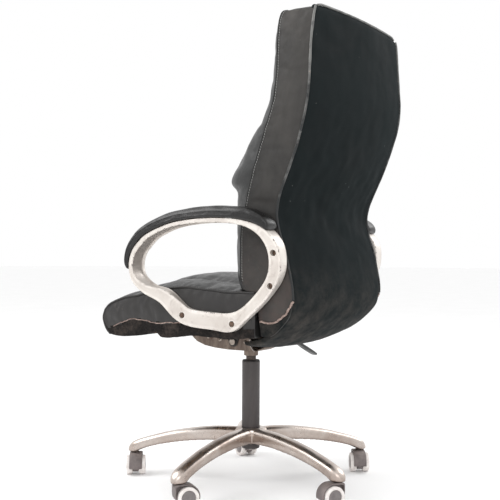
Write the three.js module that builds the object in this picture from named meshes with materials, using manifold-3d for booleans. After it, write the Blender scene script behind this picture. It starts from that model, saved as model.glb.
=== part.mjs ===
// A high-back swivel office chair: five-armed base on twin-wheel casters, gas lift, tilt mechanism,
// upholstered seat and back, and a pair of closed-loop arms with padded tops.
// Millimetres, +Z up. The chair faces -Y and the sitter's left is +X. The shapes are drawn about the
// gas lift's axis, and the whole chair is centred over its footprint at the end.
import * as THREE from "three";
import { mergeVertices } from "three/addons/utils/BufferGeometryUtils.js";
import Module from "manifold-3d";

const wasm = await Module();
wasm.setup();

// ---- Driving dimensions ----------------------------------------------------------------------

const gap = 0.4; // between touching pieces
const runningGap = 0.3; // radial, between a shaft and its hole

// Casters
const wheelRadius = 27;
const wheelWidth = 18.5;
const casterTrail = wheelRadius - 7; // from the stem's axis back to the axle
const webThickness = 16; // the hood's middle wall, between the wheels
const hoodWidth = 36;
const hoodTop = 2 * wheelRadius + 6;
const fenderGap = 1.3;
const fenderWall = 3.6;
const stemRadius = 5;
const stemDepth = 21; // below the hood's top
const axleRadius = 3;
const casterHeadings = [142, 329, 34, 60, 36]; // degrees from +X, the way each axle trails its stem

// Base
const baseArms = 5;
const stemCircle = 340; // radius on which the caster stems stand
const armTipBottom = hoodTop + 2;
const hubBottom = armTipBottom + 44;
const hubTop = armTipBottom + 87;
const baseWall = 4;
const stemSocketDepth = 22;

// Gas lift
const tubeRadius = 25;
const hubRadius = tubeRadius + 15;
const tubeWall = 1.8;
const tubeBottom = hubBottom - 16;
const tubeTop = 334;
const guideLength = 150;
const cylinderRadius = 14;
const cylinderWall = 2.4;
const cylinderBottom = tubeBottom + 20;
const cylinderTop = 384;
const rodRadius = 5;
const pistonZ = 250;
const buttonRadius = 4;
const buttonProud = 5.5;

// Tilt mechanism
const pivotY = -32;
const pivotZ = 388;
const reclineDegrees = 10;
const housingHalfWidth = 40;
const housingWall = 3;
const housingFront = -184;
const housingRear = 62;
const housingBottom = 365;
const socketRadius = cylinderRadius + 5.5;
const socketBottom = 349;
const axleBoltRadius = 5;
const springRadius = 10.2;
const springWire = 1.9;
const springTurns = 6;
const knobRadius = 25;
const knobInner = housingHalfWidth + 12; // the knob's near face, from the middle of the chair
const knobWidth = 38;

// Lift lever
const leverY = 52;
const leverZ = 393.5;
const leverRodRadius = 3.2;
const paddleStart = new THREE.Vector3(-150, leverY, 382);
const paddleEnd = new THREE.Vector3(-284, leverY, 328);
const paddleWidth = 24;
const paddleThickness = 9;

// Seat
const plateThickness = 3;
const plateHalfWidth = 98;
const plateFront = -140;
const plateRear = 100;
const boardBottom = 421;
const boardThickness = 12;
const seatHalfWidth = 258;
const boardHalfWidth = seatHalfWidth - 26;
const boardFront = -298;
const boardRear = 150;
const seatCrown = 20;
const plateBoltX = 75;
const plateBoltFrontY = -120;
const plateBoltRearY = 80;
const boltShank = 3.7;
const boltHead = 6.5;
const boltHeadHeight = 5;

// Back
const shellThickness = 14;
const backBulge = 16; // how far the rear panel swells behind its edges, at the middle
const backTop = 1244;
const waistZ = 728; // the back grows and shrinks above this height

// Arms
const armInner = seatHalfWidth + 1; // inner face of the bolted part
const armOuter = armInner + 61; // outer face of the wide part
const counterboreRadius = 8;
const counterboreFloor = 10; // thickness of arm left under a screw head
const armScrewReach = 24; // how far an arm screw goes into the upholstered frame
const padInner = armInner + 3;
const padOuter = armOuter + 4;

// ---- Helpers ---------------------------------------------------------------------------------

const radians = THREE.MathUtils.degToRad;
const clamp = THREE.MathUtils.clamp;
const v2 = (x, y) => new THREE.Vector2(x, y);
const v3 = (x, y, z) => new THREE.Vector3(x, y, z);

// A closed geometry as a solid with its faces pointing out.
function solid(geometry) {
  const bare = geometry.clone();
  bare.deleteAttribute("normal");
  bare.deleteAttribute("uv");
  const merged = mergeVertices(bare, 1e-3);
  const vertProperties = merged.attributes.position.array;
  const triVerts = new Uint32Array(merged.index.array);
  const made = new wasm.Manifold(new wasm.Mesh({ numProp: 3, vertProperties, triVerts }));
  if (made.volume() > 0) return made;
  for (let i = 0; i < triVerts.length; i += 3) {
    [triVerts[i], triVerts[i + 1]] = [triVerts[i + 1], triVerts[i]];
  }
  return new wasm.Manifold(new wasm.Mesh({ numProp: 3, vertProperties, triVerts }));
}

const union = (...parts) => parts.reduce((whole, part) => whole.add(part));
const cut = (whole, ...tools) => tools.reduce((rest, tool) => rest.subtract(tool), whole);

function geometryOf(made) {
  const mesh = made.getMesh();
  const geometry = new THREE.BufferGeometry();
  geometry.setAttribute("position", new THREE.BufferAttribute(mesh.vertProperties, 3));
  geometry.setIndex(new THREE.BufferAttribute(mesh.triVerts, 1));
  geometry.computeVertexNormals();
  return geometry;
}

// A cylinder along +X, +Y or +Z from one coordinate to another, centred on `at`.
function cylinder(axis, radius, from, to, at = v3(0, 0, 0), segments = 24) {
  const geometry = new THREE.CylinderGeometry(radius, radius, Math.abs(to - from), segments);
  const middle = (from + to) / 2;
  if (axis === "x") geometry.rotateZ(Math.PI / 2).translate(middle, at.y, at.z);
  if (axis === "y") geometry.translate(at.x, middle, at.z);
  if (axis === "z") geometry.rotateX(Math.PI / 2).translate(at.x, at.y, middle);
  return solid(geometry);
}

// A profile of [radius, height] pairs turned about the Z axis. It starts and ends on the axis or closes.
function turned(profile, segments = 32) {
  const points = profile.map(([radius, height]) => v2(radius, height));
  return solid(new THREE.LatheGeometry(points, segments).rotateX(Math.PI / 2));
}

// A ring or sleeve about the Z axis.
const sleeve = (inner, outer, from, to, segments = 32) =>
  turned([[inner, from], [outer, from], [outer, to], [inner, to], [inner, from]], segments);

function block(x0, x1, y0, y1, z0, z1) {
  const box = new THREE.BoxGeometry(x1 - x0, y1 - y0, z1 - z0);
  return solid(box.translate((x0 + x1) / 2, (y0 + y1) / 2, (z0 + z1) / 2));
}

// An outline of [y, z] pairs extruded along X.
function sideProfile(outline, x0, x1) {
  const shape = new THREE.Shape(outline.map(([y, z]) => v2(y, z)));
  const geometry = new THREE.ExtrudeGeometry(shape, { depth: x1 - x0, bevelEnabled: false });
  const basis = new THREE.Matrix4().makeBasis(v3(0, 1, 0), v3(0, 0, 1), v3(1, 0, 0));
  return solid(geometry.applyMatrix4(basis).translate(x0, 0, 0));
}

// Skins a row of rings that all have the same number of points. An open row gets end caps, and
// `flat` gives the two coordinates in which an end ring is a plain outline.
function loft(rings, { closed = false, flat = (p) => v2(p.y, p.z) } = {}) {
  const count = rings[0].length;
  const index = [];
  const spans = closed ? rings.length : rings.length - 1;
  for (let i = 0; i < spans; i++) {
    for (let j = 0; j < count; j++) {
      const next = (j + 1) % count;
      const here = i * count;
      const there = ((i + 1) % rings.length) * count;
      index.push(here + j, here + next, there + next, here + j, there + next, there + j);
    }
  }
  // An end ring's cap runs with the ring's own order or against it.
  const cap = (ring, start, withRing) => {
    const contour = ring.map(flat);
    const area = THREE.ShapeUtils.area(contour);
    for (const [a, b, c] of THREE.ShapeUtils.triangulateShape(contour, [])) {
      const agrees = THREE.ShapeUtils.area([contour[a], contour[b], contour[c]]) * area > 0;
      index.push(start + a, start + (agrees === withRing ? b : c), start + (agrees === withRing ? c : b));
    }
  };
  if (!closed) {
    cap(rings[0], 0, false);
    cap(rings[rings.length - 1], (rings.length - 1) * count, true);
  }
  const geometry = new THREE.BufferGeometry();
  const positions = rings.flat().flatMap((p) => p.toArray());
  geometry.setAttribute("position", new THREE.Float32BufferAttribute(positions, 3));
  geometry.setIndex(index);
  return solid(geometry);
}

// A smooth curve through points, sampled at equal steps of its parameter.
function sampled(points, steps, closed = false) {
  const curve = new THREE.CatmullRomCurve3(points, closed, "catmullrom", 0.5);
  const count = closed ? steps : steps + 1;
  return Array.from({ length: count }, (_, i) => curve.getPoint(i / steps));
}

const chair = new THREE.Group();

function addPart(name, made, material, group = chair) {
  const mesh = new THREE.Mesh(geometryOf(made), material);
  mesh.name = name;
  group.add(mesh);
  return mesh;
}

// ---- Materials -------------------------------------------------------------------------------

const finish = (color, roughness, metalness = 0) =>
  new THREE.MeshStandardMaterial({ color, roughness, metalness });

const polishedAluminium = finish(0xb9aca4, 0.25, 1);
const darkSteel = finish(0x3f3b3b, 0.45, 0.8);
const brightSteel = finish(0x9a9896, 0.3, 1);
const dustySteel = finish(0x6b5f58, 0.7, 0.5);
const zincSteel = finish(0x8d8378, 0.5, 0.8);
const blackPlastic = finish(0x1b1c1b, 0.5);
const hoodPlastic = finish(0x7b6f6e, 0.6);
const wheelPlastic = finish(0xe9e3df, 0.5);
const guidePlastic = finish(0x22262a, 0.6);
const plywood = finish(0x8a6a48, 0.8);
const seatLeather = finish(0x2b2a2b, 0.5);
const backLeather = finish(0x504e4c, 0.55);
const rearSuede = finish(0x22292b, 0.95);
const padLeather = finish(0x1a1a1b, 0.4);
const armPaint = finish(0xb8aea7, 0.4, 0.3);

// ---- Base ------------------------------------------------------------------------------------

// The arm's outline along its length: [distance from the hub's axis, top and underside above the
// tip's underside, half width].
const armStations = [
  [hubRadius / 2, 86, 45, 23],
  [0.31 * stemCircle, 84, 47, 23],
  [0.57 * stemCircle, 72, 39, 22],
  [0.8 * stemCircle, 54, 24, 21],
  [stemCircle - 21, 40, 9, 20.5],
  [stemCircle - 2, 33, 0, 20.5],
  [stemCircle + 12, 26, 0, 17],
  [stemCircle + 20, 17, 0, 11],
  [stemCircle + 24, 8, 0, 5],
];

// One cross-section of an arm: flat below, straight low sides, rounded shoulders.
function armSection([along, top, bottom, half]) {
  const height = top - bottom;
  const across = [-1, -1, -0.8, -0.4, 0.4, 0.8, 1, 1];
  const up = [0, 0.45, 0.82, 0.98, 0.98, 0.82, 0.45, 0];
  return across.map((side, i) => v3(along, side * half, armTipBottom + bottom + up[i] * height));
}

function starBase() {
  const flat = (p) => v2(p.y, p.z);
  const arm = loft(armStations.map(armSection), { flat });
  const hollowStations = armStations
    .filter(([along]) => along < stemCircle - 20)
    .map(([along, top, bottom, half]) => [along, top - baseWall, bottom - 6, half - baseWall])
    .map(([along, ...rest]) => [Math.max(along, hubRadius + baseWall), ...rest]);
  const hollow = loft(hollowStations.map(armSection), { flat });
  const hub = turned([[0, hubBottom], [hubRadius, hubBottom], [hubRadius + 2, hubBottom + 6],
    [hubRadius, hubTop - 6], [hubRadius - 6, hubTop], [0, hubTop]]);
  let star = hub;
  for (let i = 0; i < baseArms; i++) {
    star = star.add(arm.rotate([0, 0, (360 / baseArms) * i]));
  }
  for (let i = 0; i < baseArms; i++) {
    star = star.subtract(hollow.rotate([0, 0, (360 / baseArms) * i]));
  }
  const bore = cylinder("z", tubeRadius + gap, hubBottom - 10, hubTop + 10, v3(0, 0, 0), 32);
  star = star.subtract(bore);
  for (let i = 0; i < baseArms; i++) {
    const angle = radians((360 / baseArms) * i);
    const at = v3(stemCircle * Math.cos(angle), stemCircle * Math.sin(angle), 0);
    const top = armTipBottom + stemSocketDepth;
    star = star.subtract(cylinder("z", stemRadius + runningGap, armTipBottom - 5, top, at, 12));
  }
  return star;
}

// ---- Casters ---------------------------------------------------------------------------------

// A caster is drawn with its stem on the Z axis and its axle behind it on +X.
function casterHood() {
  const wheelAt = v3(casterTrail, 0, wheelRadius);
  const outer = wheelRadius + fenderGap + fenderWall;
  const fender = new THREE.Shape();
  const front = -stemRadius - 8;
  fender.moveTo(front + 2, wheelRadius - 6);
  fender.lineTo(front, hoodTop - 6);
  fender.lineTo(front + 5, hoodTop);
  fender.lineTo(casterTrail - 8, hoodTop);
  fender.absarc(casterTrail, wheelRadius, outer, radians(95), radians(-14), true);
  fender.lineTo(casterTrail + 16, wheelRadius - 10);
  fender.absarc(casterTrail, wheelRadius, 15, radians(-30), radians(-150), true);
  fender.closePath();
  const geometry = new THREE.ExtrudeGeometry(fender, {
    depth: hoodWidth,
    bevelEnabled: false,
    curveSegments: 7,
  });
  const body = solid(geometry.rotateX(Math.PI / 2).translate(0, hoodWidth / 2, 0));
  const well = (side) =>
    cylinder("y", wheelRadius + fenderGap, (side * webThickness) / 2, side * hoodWidth, wheelAt, 18);
  const axleBore = cylinder("y", axleRadius + runningGap, -hoodWidth, hoodWidth, wheelAt, 12);
  const stemBore = cylinder("z", stemRadius + runningGap, hoodTop - stemDepth - 1, hoodTop + 5,
    v3(0, 0, 0), 12);
  return cut(body, well(1), well(-1), axleBore, stemBore);
}

function casterStem() {
  const collar = hoodTop + gap;
  const top = armTipBottom + stemSocketDepth - 1;
  const foot = hoodTop - stemDepth;
  return turned([[0, foot], [stemRadius, foot], [stemRadius, collar], [8, collar], [8, armTipBottom - gap],
    [stemRadius, armTipBottom - gap], [stemRadius, top], [0, top]], 12);
}

// A wheel about the Y axis: its inner face looks to -Y, and a closed cap covers its outer face.
function casterWheel(side) {
  const inner = webThickness / 2 + 1;
  const outer = inner + wheelWidth;
  const bore = axleRadius + runningGap;
  const boreEnd = outer - 4;
  const profile = [[0, outer], [16, outer - 1], [22, outer - 0.4], [wheelRadius, outer - 3],
    [wheelRadius, inner + 1.5], [wheelRadius - 1.5, inner], [bore, inner], [bore, boreEnd], [0, boreEnd]];
  const points = profile.map(([radius, along]) => v2(radius, side * along));
  const geometry = new THREE.LatheGeometry(points, 18);
  return solid(geometry.translate(casterTrail, 0, wheelRadius));
}

function addCasters() {
  const reach = webThickness / 2 + 1 + wheelWidth - 5;
  const axle = cylinder("y", axleRadius, -reach, reach, v3(casterTrail, 0, wheelRadius), 12);
  const pieces = [
    ["caster_stem", casterStem(), zincSteel],
    ["caster_hood", casterHood(), hoodPlastic],
    ["caster_axle", axle, zincSteel],
    ["caster_wheel_left", casterWheel(1), wheelPlastic],
    ["caster_wheel_right", casterWheel(-1), wheelPlastic],
  ];
  for (let i = 0; i < baseArms; i++) {
    const angle = radians((360 / baseArms) * i);
    const group = new THREE.Group();
    group.position.set(stemCircle * Math.cos(angle), stemCircle * Math.sin(angle), 0);
    group.rotation.z = radians(casterHeadings[i]);
    chair.add(group);
    for (const [name, made, material] of pieces) {
      addPart(`${name}_${i + 1}`, made, material, group);
    }
  }
}

// ---- Gas lift --------------------------------------------------------------------------------

const tubeInner = tubeRadius - tubeWall;
const bottomPlate = 3;
const bearingBottom = tubeBottom + bottomPlate + gap;
const bearingTop = bearingBottom + 7;

function addGasLift() {
  const tube = turned([[rodRadius + 1, tubeBottom], [tubeRadius - 1, tubeBottom],
    [tubeRadius, tubeBottom + 2], [tubeRadius, tubeTop - 1], [tubeRadius - 0.6, tubeTop],
    [tubeInner, tubeTop], [tubeInner, tubeBottom + bottomPlate],
    [rodRadius + 1, tubeBottom + bottomPlate], [rodRadius + 1, tubeBottom]], 32);
  addPart("column_tube", tube, darkSteel);

  const guideOuter = tubeInner - gap;
  const guideInner = cylinderRadius + runningGap;
  const lip = tubeTop + gap;
  const guide = turned([[guideInner, tubeTop - guideLength], [guideOuter, tubeTop - guideLength],
    [guideOuter, lip], [tubeRadius - 0.8, lip], [tubeRadius - 1.6, lip + 2.4], [guideInner, lip + 2.4],
    [guideInner, tubeTop - guideLength]], 24);
  addPart("guide_sleeve", guide, guidePlastic);

  addPart("thrust_bearing", sleeve(rodRadius + runningGap, 12, bearingBottom, bearingTop, 24), brightSteel);
  const clipTop = tubeBottom - gap;
  const clip = cut(sleeve(rodRadius - 1 + gap, 10, clipTop - 1.6, clipTop, 20),
    block(0, 12, -2, 2, clipTop - 3, clipTop + 1));
  addPart("retaining_clip", clip, brightSteel);

  const pistonRadius = cylinderRadius - cylinderWall - gap;
  const groove = rodRadius - 1;
  const rod = turned([[0, tubeBottom - 5], [rodRadius, tubeBottom - 5], [rodRadius, clipTop - 2],
    [groove, clipTop - 2], [groove, clipTop + gap], [rodRadius, clipTop + gap], [rodRadius, pistonZ],
    [pistonRadius, pistonZ], [pistonRadius, pistonZ + 12], [0, pistonZ + 12]], 20);
  addPart("piston_rod", rod, brightSteel);

  const inside = cylinderRadius - cylinderWall;
  const buttonBore = buttonRadius + runningGap;
  const headThickness = 13;
  const cylinderShape = turned([[rodRadius + 1, cylinderBottom], [cylinderRadius, cylinderBottom],
    [cylinderRadius, cylinderTop - 2], [cylinderRadius - 1, cylinderTop], [buttonBore, cylinderTop],
    [buttonBore, cylinderTop - headThickness], [inside, cylinderTop - headThickness],
    [inside, cylinderBottom + 8], [rodRadius + 1, cylinderBottom + 8], [rodRadius + 1, cylinderBottom]], 24);
  addPart("gas_cylinder", cylinderShape, brightSteel);

  const button = turned([[0, cylinderTop - headThickness + 1], [buttonRadius, cylinderTop - headThickness + 1],
    [buttonRadius, cylinderTop + buttonProud - 0.6], [buttonRadius - 0.6, cylinderTop + buttonProud],
    [0, cylinderTop + buttonProud]], 16);
  addPart("release_button", button, blackPlastic);
}

// ---- Tilt mechanism --------------------------------------------------------------------------

const plateBottom = boardBottom - gap - plateThickness;
const pivotAt = v3(0, pivotY, pivotZ);
const housingTop = plateBottom - 1.2;
const reclineSlope = Math.tan(radians(reclineDegrees));
const housingRearTop = housingTop - reclineSlope * (housingRear - pivotY);

function tiltHousing() {
  // The underside runs up to the front in a shallow boat shape.
  const underside = [[housingFront, 405], [-157, 383], [-129, 373], [-95, 368], [-51, housingBottom],
    [40, housingBottom], [housingRear, housingBottom + 9]];
  const outer = [...underside, [housingRear, housingRearTop], [pivotY, housingTop],
    [housingFront, housingTop]];
  const floor = underside.map(([y, z]) => [clamp(y, housingFront + housingWall, housingRear), z + housingWall]);
  const pocket = [...floor, [housingRear, 460], [housingFront + housingWall, 460]];
  const half = housingHalfWidth;
  const inner = half - housingWall;
  const shell = cut(sideProfile(outer, -half, half), sideProfile(pocket, -inner, inner));
  const socket = cylinder("z", socketRadius, socketBottom, cylinderTop - 1, v3(0, 0, 0), 32);
  const bore = cylinder("z", cylinderRadius + runningGap, socketBottom - 5, cylinderTop + 5, v3(0, 0, 0), 32);
  const pivotBore = cylinder("x", axleBoltRadius + runningGap, -half - 5, half + 5, pivotAt, 20);
  // The wall on the sitter's left stops short of the rear in an arc.
  const arc = cylinder("x", 34, inner - 8, half + 5, v3(0, 56, 394), 32);
  const leverHole = cylinder("x", leverRodRadius + 0.8, -half - 5, -inner + 5, v3(0, leverY, leverZ), 16);
  return cut(union(shell, socket), bore, pivotBore, arc, leverHole);
}

function torsionSpring() {
  const length = 2 * (housingHalfWidth - housingWall - 7);
  class Helix extends THREE.Curve {
    getPoint(t, target = v3(0, 0, 0)) {
      const angle = 2 * Math.PI * springTurns * t;
      return target.set(
        (t - 0.5) * length,
        pivotY + springRadius * Math.cos(angle),
        pivotZ + springRadius * Math.sin(angle),
      );
    }
  }
  const wire = new THREE.Shape().absarc(0, 0, springWire, 0, 2 * Math.PI, false);
  const steps = springTurns * 9;
  const options = { extrudePath: new Helix(), steps, bevelEnabled: false, curveSegments: 3 };
  return solid(new THREE.ExtrudeGeometry(wire, options));
}

function tensionKnob() {
  const far = -knobInner - knobWidth;
  const body = new THREE.LatheGeometry([v2(0, -knobInner), v2(knobRadius - 3, -knobInner),
    v2(knobRadius, -knobInner - 3), v2(knobRadius, far + 5), v2(knobRadius - 4, far), v2(0, far)], 24);
  body.rotateZ(-Math.PI / 2).translate(0, pivotY, pivotZ);
  const flutes = Array.from({ length: 8 }, (_, i) => {
    const angle = (i / 8) * 2 * Math.PI;
    const reach = knobRadius + 3;
    const at = v3(0, pivotY + reach * Math.cos(angle), pivotZ + reach * Math.sin(angle));
    return cylinder("x", 5.5, far - 2, -knobInner - 10, at, 10);
  });
  const bore = cylinder("x", axleBoltRadius + runningGap, -knobInner - 18, -knobInner + 5, pivotAt, 20);
  return cut(solid(body), ...flutes, bore);
}

const paddleAlong = paddleEnd.clone().sub(paddleStart).normalize();

function leverRod() {
  const path = new THREE.CurvePath();
  const corner = 8;
  const straightEnd = v3(-62, leverY, leverZ);
  const tip = paddleStart.clone().addScaledVector(paddleAlong, 20);
  const bendStart = paddleStart.clone().addScaledVector(paddleAlong, -6);
  path.add(new THREE.LineCurve3(v3(0, -3, leverZ), v3(0, leverY - corner, leverZ)));
  path.add(new THREE.QuadraticBezierCurve3(v3(0, leverY - corner, leverZ), v3(0, leverY, leverZ),
    v3(-corner, leverY, leverZ)));
  path.add(new THREE.LineCurve3(v3(-corner, leverY, leverZ), straightEnd));
  path.add(new THREE.LineCurve3(straightEnd, bendStart));
  path.add(new THREE.LineCurve3(bendStart, tip));
  const wire = new THREE.Shape().absarc(0, 0, leverRodRadius, 0, 2 * Math.PI, false);
  const options = { extrudePath: path, steps: 24, bevelEnabled: false, curveSegments: 5 };
  return solid(new THREE.ExtrudeGeometry(wire, options));
}

function leverPaddle() {
  const up = v3(paddleAlong.z, 0, -paddleAlong.x);
  const length = paddleEnd.distanceTo(paddleStart);
  const stations = [[0, 0.5], [6, 0.56], [30, 0.62], [60, 0.92], [100, 1], [length - 12, 0.94],
    [length - 3, 0.72], [length, 0.45]];
  const rings = stations.map(([along, share]) => {
    const middle = paddleStart.clone().addScaledVector(paddleAlong, along);
    const half = (paddleWidth / 2) * share;
    const thick = (paddleThickness / 2) * (along > length - 5 ? share : 1);
    const ring = [[-1, -0.4], [-0.75, -1], [0.75, -1], [1, -0.4], [1, 0.4], [0.75, 1], [-0.75, 1], [-1, 0.4]];
    return ring.map(([a, b]) => middle.clone().add(v3(0, a * half, 0)).addScaledVector(up, b * thick));
  });
  const body = loft(rings, { flat: (p) => v2(p.y, p.z) });
  const boreLength = 24;
  const bore = new THREE.CylinderGeometry(leverRodRadius + gap, leverRodRadius + gap, boreLength, 16);
  bore.applyQuaternion(new THREE.Quaternion().setFromUnitVectors(v3(0, 1, 0), paddleAlong));
  const middle = paddleStart.clone().addScaledVector(paddleAlong, boreLength / 2 - 2);
  return cut(body, solid(bore.translate(middle.x, middle.y, middle.z)));
}

function addMechanism() {
  addPart("tilt_housing", tiltHousing(), dustySteel);
  const earFace = housingHalfWidth + 1.2 + plateThickness - 0.4;
  const head = earFace + gap;
  const axle = union(
    cylinder("x", axleBoltRadius, -knobInner - 14, head + 2, pivotAt, 20),
    cylinder("x", 9, head, head + 5, pivotAt, 12),
  );
  addPart("tilt_axle", axle, zincSteel);
  addPart("torsion_spring", torsionSpring(), zincSteel);
  addPart("tension_knob", tensionKnob(), blackPlastic);
  addPart("lever_rod", leverRod(), zincSteel);
  addPart("lever_paddle", leverPaddle(), blackPlastic);
}

// ---- Seat ------------------------------------------------------------------------------------

const plateBolts = [plateBoltFrontY, plateBoltRearY].flatMap((y) => [v3(-plateBoltX, y, 0), v3(plateBoltX, y, 0)]);

function seatPlate() {
  const plate = block(-plateHalfWidth, plateHalfWidth, plateFront, plateRear, plateBottom,
    plateBottom + plateThickness);
  const ear = (side) => {
    const face = housingHalfWidth + 1.2;
    const [x0, x1] = [side * face, side * (face + plateThickness - 0.4)].sort((a, b) => a - b);
    const outline = [[pivotY - 26, plateBottom + 1], [pivotY - 12, pivotZ - 8], [pivotY - 6, pivotZ - 13],
      [pivotY + 6, pivotZ - 13], [pivotY + 12, pivotZ - 8], [pivotY + 26, plateBottom + 1]];
    return sideProfile(outline, x0, x1);
  };
  const pivotBore = cylinder("x", axleBoltRadius + runningGap, -60, 60, pivotAt, 20);
  const bores = plateBolts.map((at) => cylinder("z", boltShank + gap, plateBottom - 5, boardBottom, at, 12));
  return cut(union(plate, ear(1), ear(-1)), pivotBore, ...bores);
}

function seatBoard() {
  const board = block(-boardHalfWidth, boardHalfWidth, boardFront, boardRear, boardBottom,
    boardBottom + boardThickness);
  const top = boardBottom + boardThickness;
  const bores = plateBolts.map((at) => cylinder("z", boltShank + gap, boardBottom - 5, top + 5, at, 12));
  return cut(board, ...bores);
}

function plateBolt(at) {
  const seatZ = plateBottom - gap;
  const top = boardBottom + boardThickness - 1;
  return union(
    cylinder("z", boltHead, seatZ - boltHeadHeight, seatZ, at, 6),
    cylinder("z", boltShank, seatZ - 1, top, at, 12),
  );
}

// The seat cushion's outline from the side: up the front, back along the top, and forward below.
const seatOutline = [
  [-346, 470], [-337, 488], [-316, 501], [-282, 512], [-235, 521], [-160, 535], [-90, 543], [0, 541],
  [90, 535], [170, 536], [170, 432], [150, 420], [60, 416], [-60, 414], [-215, 409], [-285, 406], [-314, 417],
  [-332, 440], [-343, 457],
];

function seatCushion() {
  const lanes = [[-1, 9], [-0.985, 3], [-0.95, 0], [-0.8, 0], [-0.5, 0], [0, 0], [0.5, 0], [0.8, 0],
    [0.95, 0], [0.985, 3], [1, 9]];
  const centre = v2(-60, 475);
  const rings = lanes.map(([lane, inset]) =>
    seatOutline.map(([y, z]) => {
      const frontRound = clamp((-250 - y) / 96, 0, 1) ** 2;
      const crown = z > 500 ? seatCrown * (1 - lane * lane) * clamp((170 - y) / 60, 0, 1) : 0;
      const inward = v2(centre.x - y, centre.y - z).normalize().multiplyScalar(inset);
      return v3(lane * (seatHalfWidth - 14 * frontRound), y + inward.x, z + inward.y + crown);
    }),
  );
  const pocket = block(-boardHalfWidth - 1, boardHalfWidth + 1, boardFront - 1, boardRear + 1,
    380, boardBottom + boardThickness + gap);
  return cut(loft(rings), pocket);
}

// ---- Back ------------------------------------------------------------------------------------

// The outlines of the back are drawn for this height, and stretched above the waist to the real one.
const drawnTop = 1244;
const stretch = (backTop - waistZ) / (drawnTop - waistZ);
const raised = (z) => waistZ + Math.max(z - waistZ, 0) * stretch + Math.min(z - waistZ, 0);

// The rear panel's edge from the top down and forward under the seat: [y, z, how much further out
// than the seat's side].
const rearLine = [
  [325, 1242, -30], [328, 1228, -15], [327, 1205, -7], [327, 1150, 3], [328, 1095, 10], [328, 1040, 15],
  [321, 990, 15], [307, 940, 12], [290, 890, 9], [271, 845, 7], [250, 798, 4], [237, 762, 1],
  [233, 728, 0], [240, 690, -1], [256, 640, -2], [268, 590, -3], [276, 548, -4], [276, 515, -6],
  [266, 484, -10], [244, 458, -16], [212, 432, -24], [176, 412, -32], [140, 402, -39], [112, 399, -44],
].map(([y, z, beyond]) => [y, raised(z), seatHalfWidth + beyond]);

// Outward unit normals of the rear line, in the Y-Z plane.
const rearNormals = rearLine.map((_, i) => {
  const [y0, z0] = rearLine[Math.max(i - 1, 0)];
  const [y1, z1] = rearLine[Math.min(i + 1, rearLine.length - 1)];
  return v2(z0 - z1, y1 - y0).normalize();
});

const backLanes = [-1, -0.93, -0.78, -0.5, 0, 0.5, 0.78, 0.93, 1];

// A point of the rear panel, or of a surface at some depth in front of it.
function rearPoint(i, lane, depth) {
  const [y, z, half] = rearLine[i];
  const out = backBulge * (1 - lane * lane) - depth;
  return v3(lane * half, y + rearNormals[i].x * out, z + rearNormals[i].y * out);
}

function backShell() {
  const indices = rearLine.map((_, i) => i);
  const rings = backLanes.map((lane) => [
    ...indices.map((i) => rearPoint(i, lane, 0)),
    ...indices.toReversed().map((i) => rearPoint(i, lane, shellThickness)),
  ]);
  return loft(rings);
}

// The front of the back: [z, y at the middle of the pillows, y at the seam of the side gusset].
const frontLine = [
  [1240, 242, 240], [1220, 221, 233], [1185, 212, 232], [1130, 211, 234], [1075, 210, 236],
  [1025, 201, 232], [985, 178, 222], [940, 141, 204], [890, 104, 185], [845, 73, 168], [815, 62, 159],
  [792, 82, 153], [740, 83, 138], [690, 84, 129], [640, 84, 126], [590, 86, 127], [564, 94, 132],
].map(([z, pillow, seam]) => [raised(z), pillow, seam]);

// Half width of the back at a height, from the rear line.
function backHalfWidth(z) {
  const below = rearLine.findIndex(([, lineZ]) => lineZ <= z);
  if (below <= 0) return rearLine[0][2];
  const [, z0, w0] = rearLine[below - 1];
  const [, z1, w1] = rearLine[below];
  return w0 + ((w1 - w0) * (z - z0)) / (z1 - z0);
}

function backCushion() {
  const behindSeat = 174;
  const lowest = 440;
  const lastRear = rearLine.findIndex(([, z]) => z < lowest + 20);
  const rings = backLanes.map((lane) => {
    const side = Math.abs(lane);
    const edge = clamp((side - 0.62) / 0.28, 0, 1);
    const inset = side === 1 ? 1.5 : 0;
    const front = frontLine.map(([z, pillow, seam]) =>
      v3(lane * backHalfWidth(z), pillow + (seam - pillow) * edge + inset, z));
    const under = [
      v3(lane * (seatHalfWidth - 4), behindSeat, 564),
      v3(lane * (seatHalfWidth - 12), behindSeat, lowest + 4),
    ];
    const rear = [];
    for (let i = lastRear; i >= 0; i--) rear.push(rearPoint(i, lane, shellThickness + gap));
    return [...front, ...under, ...rear];
  });
  return loft(rings);
}

// ---- Arms ------------------------------------------------------------------------------------

// The arm's loop, once round from the front: [outer y, z, inner y, z, near and far face beyond the
// arm's inner face]. Along the top and front the band is broad and thin, and where it is bolted it
// stands on edge.
const armLoop = [
  [-171, 562, -158, 574, 7, 60],
  [-181, 600, -168, 600, 7, 61],
  [-174, 634, -161, 630, 7, 61],
  [-154, 661, -142, 653, 7, 61],
  [-120, 686, -112, 677, 7, 61],
  [-50, 711, -48, 701, 7, 61],
  [30, 722, 30, 711, 7, 61],
  [110, 723, 110, 711, 7, 61],
  [176, 716, 171, 703, 7, 59],
  [225, 697, 209, 682, 6, 53],
  [256, 662, 228, 650, 4, 43],
  [264, 614, 230, 612, 2, 34],
  [253, 572, 217, 574, 1, 27],
  [216, 524, 184, 535, 1, 22],
  [165, 478, 142, 500, 1, 19],
  [114, 440, 104, 486, 0, 17],
  [50, 442, 50, 486, 0, 17],
  [-20, 448, -14, 492, 0, 17],
  [-62, 466, -44, 511, 1, 21],
  [-100, 507, -84, 540, 2, 35],
  [-140, 531, -128, 552, 5, 52],
];
const loopSteps = 2; // rings from one row of the table to the next
const padFirst = 1; // the rows of the table between which the pad lies
const padLast = 9;
// How far the pad stands off the arm at each of those rows.
const padHeights = [16, 22, 26, 27, 27, 28, 29, 29, 22];

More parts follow.
